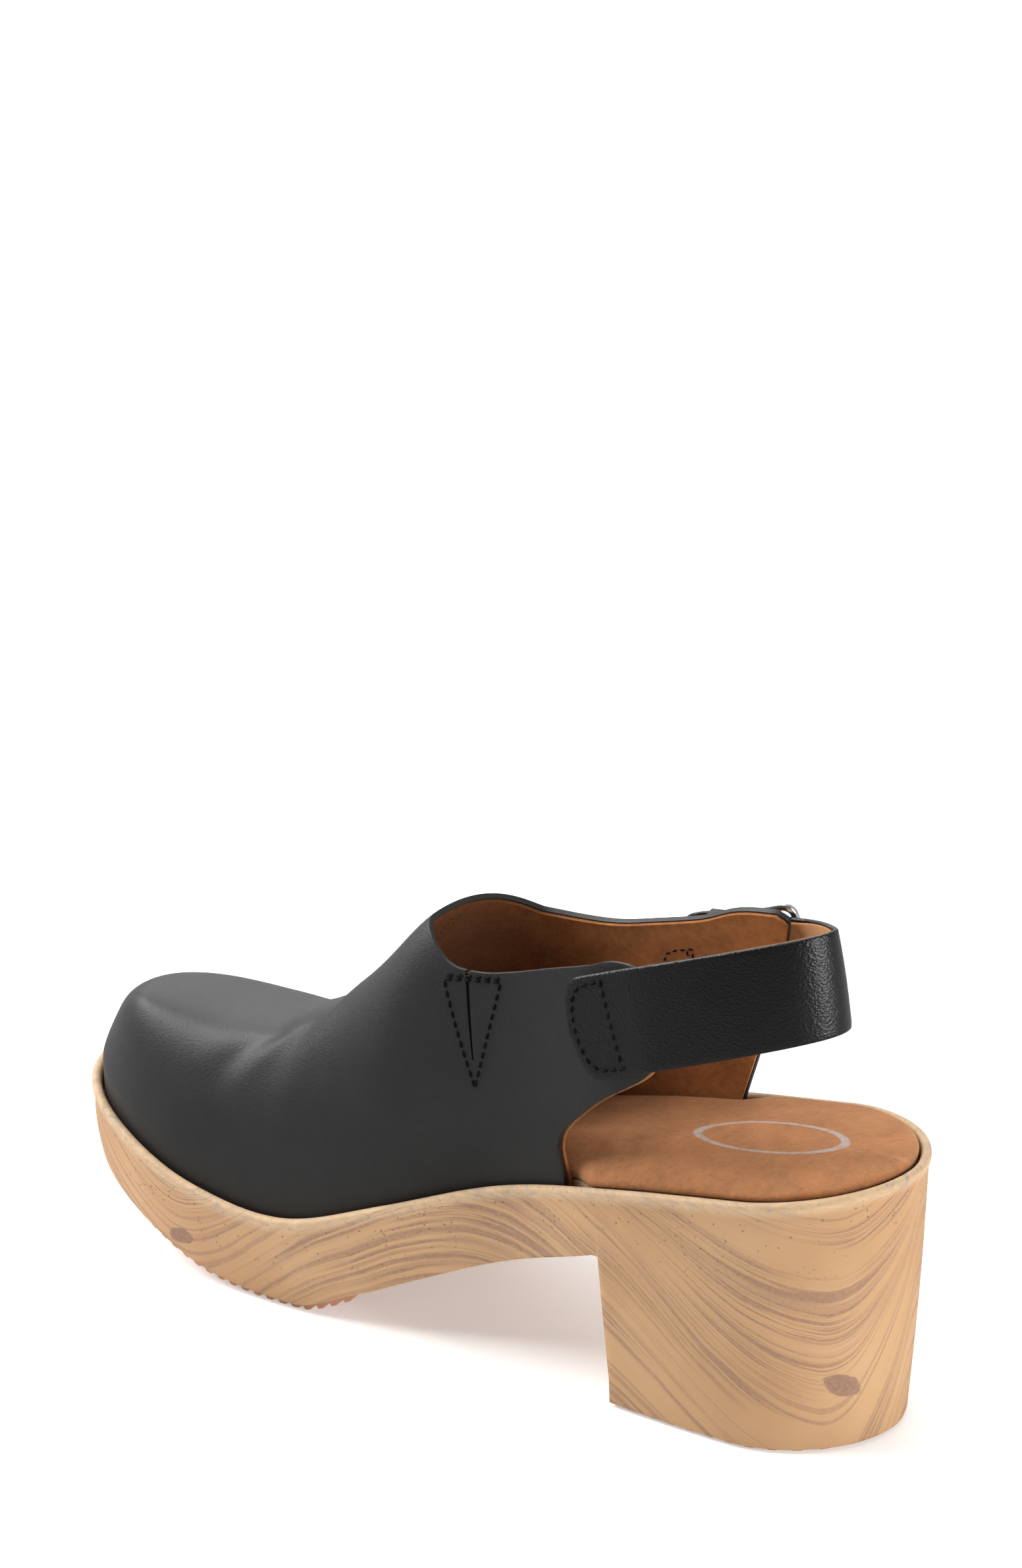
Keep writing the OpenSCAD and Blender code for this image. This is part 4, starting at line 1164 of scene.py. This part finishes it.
def strap_line():
    """Middle line of the strap's inner face: points, up, out and half width."""
    rounding = np.sin(np.radians(np.linspace(0, 90, 18)))
    u = np.concatenate([INNER_END - INNER_END_ROUND * rounding[::-1], np.arange(INNER_END + 1, 15, 1.0)])
    start = flat_part(INNER_FRAME, u, 0, end_width(INNER_END - u, INNER_END_ROUND + 0.03))
    u = np.concatenate([np.arange(17.7, TAIL_END, -1.0), TAIL_END - TAIL_END_ROUND * rounding])
    lift = STRAP_LIFT - (STRAP_LIFT - TAIL_LIFT) * np.clip((-u - 2) / 10, 0, 1)
    finish = flat_part(OUTER_FRAME, u, lift, end_width(TAIL_END - u, TAIL_END_ROUND + 0.03))
    leaving, arriving = INNER_FRAME.at(15, 0, 0), OUTER_FRAME.at(18.7, 0, STRAP_LIFT)
    first = free_part(leaving, 8.7 * INNER_FRAME.along, BACK, 20.2 * BACK_AHEAD, INNER_FRAME.up, BACK_UP)
    second = free_part(BACK, 11.3 * BACK_AHEAD, arriving, -4.8 * OUTER_FRAME.along, BACK_UP, OUTER_FRAME.up)
    second = tuple(part[1:] for part in second)
    return [np.concatenate(parts) for parts in zip(start, first, second, finish)]


def smooth_line(values, passes=6):
    """Evens out the directions along the strap where its parts meet."""
    for _ in range(passes):
        values = values.copy()
        values[1:-1] = 0.25 * values[:-2] + 0.5 * values[1:-1] + 0.25 * values[2:]
    return values


def layer_section(low, high, dome, edge):
    """Section of a strap layer, round from its outer face: the part of the
    half width, what the rounded edge adds to it, and the height."""
    middle, thick = (low + high) / 2, (high - low) / 2
    face = [(v, 0, high + dome * (1 - v * v)) for v in np.linspace(-1, 1, 19)]
    back = [(v, 0, low) for v in np.linspace(1, -1, 11)]
    turn = np.radians(np.linspace(60, -60, 5))
    one_edge = [(1, edge * math.cos(a), middle + thick * math.sin(a)) for a in turn]
    other_edge = [(-1, -edge * math.cos(a), middle + thick * math.sin(a)) for a in turn[::-1]]
    return np.array(face + one_edge + back + other_edge).T


def strap_layer(name, low, high, narrow, dome, edge):
    """One layer of the strap with rounded long edges and a domed face."""
    points, ups, outs, half = strap_line()
    ups, outs = unit(smooth_line(ups)), unit(smooth_line(outs))
    half = np.maximum(0.4, half - narrow)
    part, extra, rise = layer_section(low, high, dome, edge)
    widths = (half - edge)[:, None] * part + extra
    grid = points[:, None] + widths[..., None] * ups[:, None] + rise[None, :, None] * outs[:, None]
    n, ring = grid.shape[:2]
    faces = grid_faces(n, ring, close_cols=True)
    faces += [tuple(range(ring)), tuple(range((n - 1) * ring, n * ring))]
    return make_object(name, to_bmesh(grid, faces), sharp=70)


def d_outline(back, front, half_h):
    """Closed D of (u, v) points: straight at the back and rounded in front."""
    a = np.radians(np.linspace(-90, 90, 41))
    round_part = np.stack([back - (back - front) * np.cos(a).clip(0) ** 0.4, half_h * np.sin(a)], -1)
    straight = np.stack([np.full(12, float(back)), np.linspace(half_h, -half_h, 12)], -1)[1:-1]
    return np.vstack([round_part, straight])


def d_stitches(name, wall, back, front, half_h, n):
    """Row of stitches round a D on a wall frame, n above it."""
    outline = d_outline(back, front, half_h)
    points, directions = resample(wall.at(outline[:, 0], outline[:, 1], n), STITCH_PITCH, closed=True)
    normals = np.tile(wall.out, (len(points), 1))
    return make_object(name, stitch_mesh([(points, directions, normals)]))


def rounded_rectangle(low, high, r, count):
    """Points round a rectangle, with count points on each rounded corner."""
    centres = [(low[0] + r, low[1] + r), (high[0] - r, low[1] + r),
               (high[0] - r, high[1] - r), (low[0] + r, high[1] - r)]
    path = []
    for k, (x, y) in enumerate(centres):
        for a in np.radians(np.linspace(180 + 90 * k, 270 + 90 * k, count)):
            path.append((x + r * math.cos(a), y + r * math.sin(a)))
    return np.array(path)


def buckle_frame():
    """Polished frame: a rounded ring with the hinge bar along its front."""
    half_h = STRAP_W / 2 + 1.2 + BAR_D / 2
    path = tilt(at(rounded_rectangle((0, -half_h), (BUCKLE_L, half_h), 3.2, 9), 0))
    points, faces = tube(OUTER_FRAME.place(path), BAR_D / 2, 16, closed=True)
    return make_object("buckle_frame_nickel", to_bmesh(points, faces))


def tilt(points):
    """From the buckle's own plane to its resting slope on the wall."""
    u, v, n = np.moveaxis(np.asarray(points, float), -1, 0)
    c, s = math.cos(FRAME_RISE), math.sin(FRAME_RISE)
    return np.stack([u * c - n * s, v, BAR_N + u * s + n * c], -1)


def buckle_prong():
    """Round prong wrapped about the hinge bar, its tip over the far bar."""
    tip_n = BAR_D + 0.1
    eye_r = BAR_D / 2 + 0.55
    turn = np.radians(np.linspace(-150, 120, 20))[:14]
    wrap = [(eye_r * math.cos(a), 0, eye_r * math.sin(a)) for a in turn]
    arm = [(u, 0, eye_r + (tip_n - eye_r) * (u / BUCKLE_L) + 0.3 * math.sin(math.pi * u / BUCKLE_L))
           for u in np.linspace(1.2, BUCKLE_L + 1.4, 16)]
    radius = np.full(len(wrap + arm), 0.95)
    radius[:len(wrap)] = 0.55
    radius[-3:] = (0.85, 0.7, 0.35)
    points, faces = tube(OUTER_FRAME.place(tilt(wrap + arm)), radius, 12)
    return make_object("buckle_prong_nickel", to_bmesh(points, faces))


CHAPE_W = 21
CHAPE_FRONT = -22


def chape():
    """Leather tab folded round the hinge bar, its fold slotted for the prong."""
    turn_r = BAR_D / 2 + 0.08 + CHAPE_T
    low, high = 0.05, 2 * CHAPE_T + 0.2
    u_in = np.linspace(CHAPE_FRONT, 0, 30)
    inner = [(u, low + (BAR_N - turn_r - low) * max(0, (u + 12) / 12)) for u in u_in]
    turn = np.radians(np.linspace(8, 172, 18))
    fold = [(turn_r * math.sin(a), BAR_N - turn_r * math.cos(a)) for a in turn]
    outer = [(u, high + (BAR_N + turn_r - high) * max(0, (u + 12) / 12)) for u in u_in[::-1]]
    path = np.array(inner + fold + outer)
    v = np.linspace(-1, 1, 43)
    round_r = 9
    past = np.clip((CHAPE_FRONT + round_r - path[:, 0]) / round_r, 0, 0.999)
    half = CHAPE_W / 2 * (1 - past**2.4) ** (1 / 2.4)
    grid = OUTER_FRAME.at(path[:, :1], half[:, None] * v[None, :], path[:, 1:])
    slot = [u > -3.2 and abs(w * CHAPE_W / 2) < 2.3 for u in path[:, 0] for w in v]
    faces = [f for f in grid_faces(*grid.shape[:2]) if not all(slot[k] for k in f)]
    bm = to_bmesh(grid, faces, merge=0.001)
    point_outward(bm, OUTER_FRAME.at(-8, 0, BAR_N).tolist())
    return thicken(make_object("buckle_chape_leather", bm), CHAPE_T, 0.3)


def keeper():
    """Leather loop round the strap's tail and the chape's outer layer."""
    half_v, low, high = STRAP_W / 2 + 1.1, 1.65, TAIL_LIFT + STRAP_TOP + 0.75
    path = rounded_rectangle((-half_v, low), (half_v, high), 1.2, 8)
    u = np.linspace(-7.3, -3.7, 7)
    grid = OUTER_FRAME.at(u[:, None], path[None, :, 0], path[None, :, 1])
    bm = to_bmesh(grid, grid_faces(*grid.shape[:2], close_cols=True))
    point_outward(bm, OUTER_FRAME.at(-5.5, 0, (low + high) / 2).tolist())
    return thicken(make_object("keeper_loop_leather", bm), 0.6, 0.15)


# ---------- the whole object ----------

# The pieces that keep their CAD shape
CAD_PIECES = {
    "heel_tread": "rubber", "forefoot_tread": "rubber", "heel_core": "heel", "insole_board": "board",
    "shank": "steel", "shank_rivets": "steel", "bottom_filler": "cork", "toe_puff": "stiffener",
    "strap_tape": "tape",
}


def build(materials):
    def keep(obj, body, material, node):
        dress(obj, materials[material])
        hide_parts(node)
        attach(obj, body)

    keep(sole(), "shoe", "wood", "sole_unit")
    bed = footbed()
    mark_oval(bed)
    keep(bed, "shoe", "footbed", "sock_cover")
    keep(padding("footbed_foam_core", FOAM_DEPTH), "shoe", "foam", "footbed_foam")
    keep(upper(), "shoe", "upper", "upper_leather")
    keep(lining(1, "lining_inner_suede"), "shoe", "lining", "lining_inner")
    keep(lining(-1, "lining_outer_suede"), "shoe", "lining", "lining_outer")
    keep(gore_elastic(), "shoe", "elastic", "gore_elastic")
    leather_layer = strap_layer("strap_black_leather", LEATHER_N, STRAP_TOP, 0, 0.35, 0.55)
    keep(leather_layer, "heel_strap", "strap", "strap_leather")
    suede_layer = strap_layer("strap_suede_lining", 0, LEATHER_N - 0.4, 0.35, 0, 0.25)
    keep(suede_layer, "heel_strap", "suede", "strap_lining")
    strap_d = d_stitches("strap_stitching_d", INNER_FRAME, 7.8, -3.4, STRAP_W / 2 - 2.2, STRAP_TOP + 0.2)
    keep(strap_d, "heel_strap", "thread", "strap_stitching")
    keep(buckle_frame(), "buckle", "nickel", "buckle_frame")
    keep(buckle_prong(), "prong", "nickel", "buckle_prong")
    keep(chape(), "heel_strap", "upper", "buckle_chape")
    chape_d = d_stitches("chape_stitching_d", OUTER_FRAME, -12.4, -20.3, 7.5, 2 * CHAPE_T + 0.22)
    keep(chape_d, "heel_strap", "thread", "chape_stitching")
    keep(keeper(), "heel_strap", "upper", "keeper_loop")
    # the lining seam's tube takes the black thread as painted shade of its gap
    for extra in (gore_stitching(), lining_seam(), box_stitching()):
        dress(extra, materials["thread"])
        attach(extra, "shoe")
    for name, material in CAD_PIECES.items():
        dress(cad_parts[name], materials[material])
    for name in ("heel_tread", "forefoot_tread"):
        round_edges(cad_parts[name], 0.25, 35, 2)


# ---------- stage, light and camera ----------

def make_stage():
    """Pale floor, darker where the shoe mirrors it."""
    bm = bmesh.new()
    bmesh.ops.create_grid(bm, x_segments=1, y_segments=1, size=12 / MM)
    floor = make_object("floor", bm)
    n = Nodes("pale floor")
    mirrored = n.add("LightPath", output=3)
    tone = n.mix(n.noise(n.position(), 3), (0.86, 0.86, 0.86), (0.88, 0.88, 0.88))
    tone = n.mix(mirrored, tone, (0.3, 0.3, 0.3))
    glow = n.math("MULTIPLY_ADD", mirrored, -0.3, 0.35)
    floor.data.materials.append(n.surface(Base_Color=tone, Roughness=0.9, Specular_IOR_Level=0.0,
                                          Emission_Color=(1, 1, 1, 1), Emission_Strength=glow))


# The way towards the camera, level with the ground
CAMERA_SIDE = (0.84, 0.54, 0)


def make_world():
    """White studio walls, which light the shoe less from the camera's side."""
    world = bpy.data.worlds.new("studio")
    world.use_nodes = True
    nodes, links = world.node_tree.nodes, world.node_tree.links
    way = nodes.new("ShaderNodeTexCoord")
    side = nodes.new("ShaderNodeVectorMath")
    side.operation = "DOT_PRODUCT"
    side.inputs[1].default_value = CAMERA_SIDE
    level = nodes.new("ShaderNodeMapRange")
    level.interpolation_type = "SMOOTHSTEP"
    for socket, value in {"From Min": -0.3, "From Max": 0.9, "To Min": 0.42, "To Max": 0.1}.items():
        level.inputs[socket].default_value = value
    links.new(way.outputs["Generated"], side.inputs[0])
    links.new(side.outputs["Value"], level.inputs["Value"])
    ray = nodes.new("ShaderNodeLightPath")
    strength = nodes.new("ShaderNodeMath")
    strength.operation = "MAXIMUM"
    links.new(level.outputs["Result"], strength.inputs[0])
    links.new(ray.outputs["Is Camera Ray"], strength.inputs[1])
    links.new(strength.outputs["Value"], nodes["Background"].inputs["Strength"])
    nodes["Background"].inputs["Color"].default_value = (1, 1, 1, 1)
    bpy.context.scene.world = world


def area_light(name, place, target, size, watts):
    """Rectangular lamp at a place, turned to its target."""
    light = bpy.data.lights.new(name, "AREA")
    light.shape = "RECTANGLE"
    light.size, light.size_y = size
    light.energy = watts
    obj = bpy.data.objects.new(name, light)
    obj.location = place
    obj.rotation_mode = "QUATERNION"
    obj.rotation_quaternion = (Vector(target) - Vector(place)).to_track_quat("-Z", "Y")
    bpy.context.scene.collection.objects.link(obj)


CAMERA_AZIMUTH, CAMERA_ELEVATION = 122.5, 29.5
CAMERA_DISTANCE = 1.42
CAMERA_TARGET = Vector((0, (ORIGIN_S - SOLE_L / 2) * MM, 0.045))
CAMERA_TILT_UP, CAMERA_TURN_RIGHT = 3.90, 0.11


def make_camera():
    """The photograph's camera, as fitted to the outlines of the sole."""
    a, e = math.radians(CAMERA_AZIMUTH), math.radians(CAMERA_ELEVATION)
    back = Vector((math.sin(a) * math.cos(e), -math.cos(a) * math.cos(e), math.sin(e)))
    data = bpy.data.cameras.new("camera")
    data.lens = 123.3
    data.clip_start = 0.05
    camera = bpy.data.objects.new("camera", data)
    bpy.context.scene.collection.objects.link(camera)
    aim = (-back).to_track_quat("-Z", "Y").to_matrix()
    aim = aim @ Matrix.Rotation(math.radians(CAMERA_TILT_UP), 3, "X")
    aim = aim @ Matrix.Rotation(math.radians(-CAMERA_TURN_RIGHT), 3, "Y")
    camera.matrix_world = Matrix.Translation(CAMERA_TARGET + CAMERA_DISTANCE * back) @ aim.to_4x4()
    bpy.context.scene.camera = camera


def main():
    bpy.context.scene.view_settings.view_transform = "Standard"
    build(make_materials())
    make_stage()
    make_world()
    make_camera()
    centre = CAMERA_TARGET
    area_light("front", (0.3, -1.4, 1.3), centre, (1.5, 1.3), 52)
    area_light("right rear", (0.05, 1.65, 0.4), centre, (0.35, 0.9), 27)
    area_light("behind", (-1.5, -1.0, 1.0), centre, (1.6, 1.2), 16)
    area_light("overhead", (0.0, -0.2, 1.7), centre, (1.2, 1.2), 10)


main()
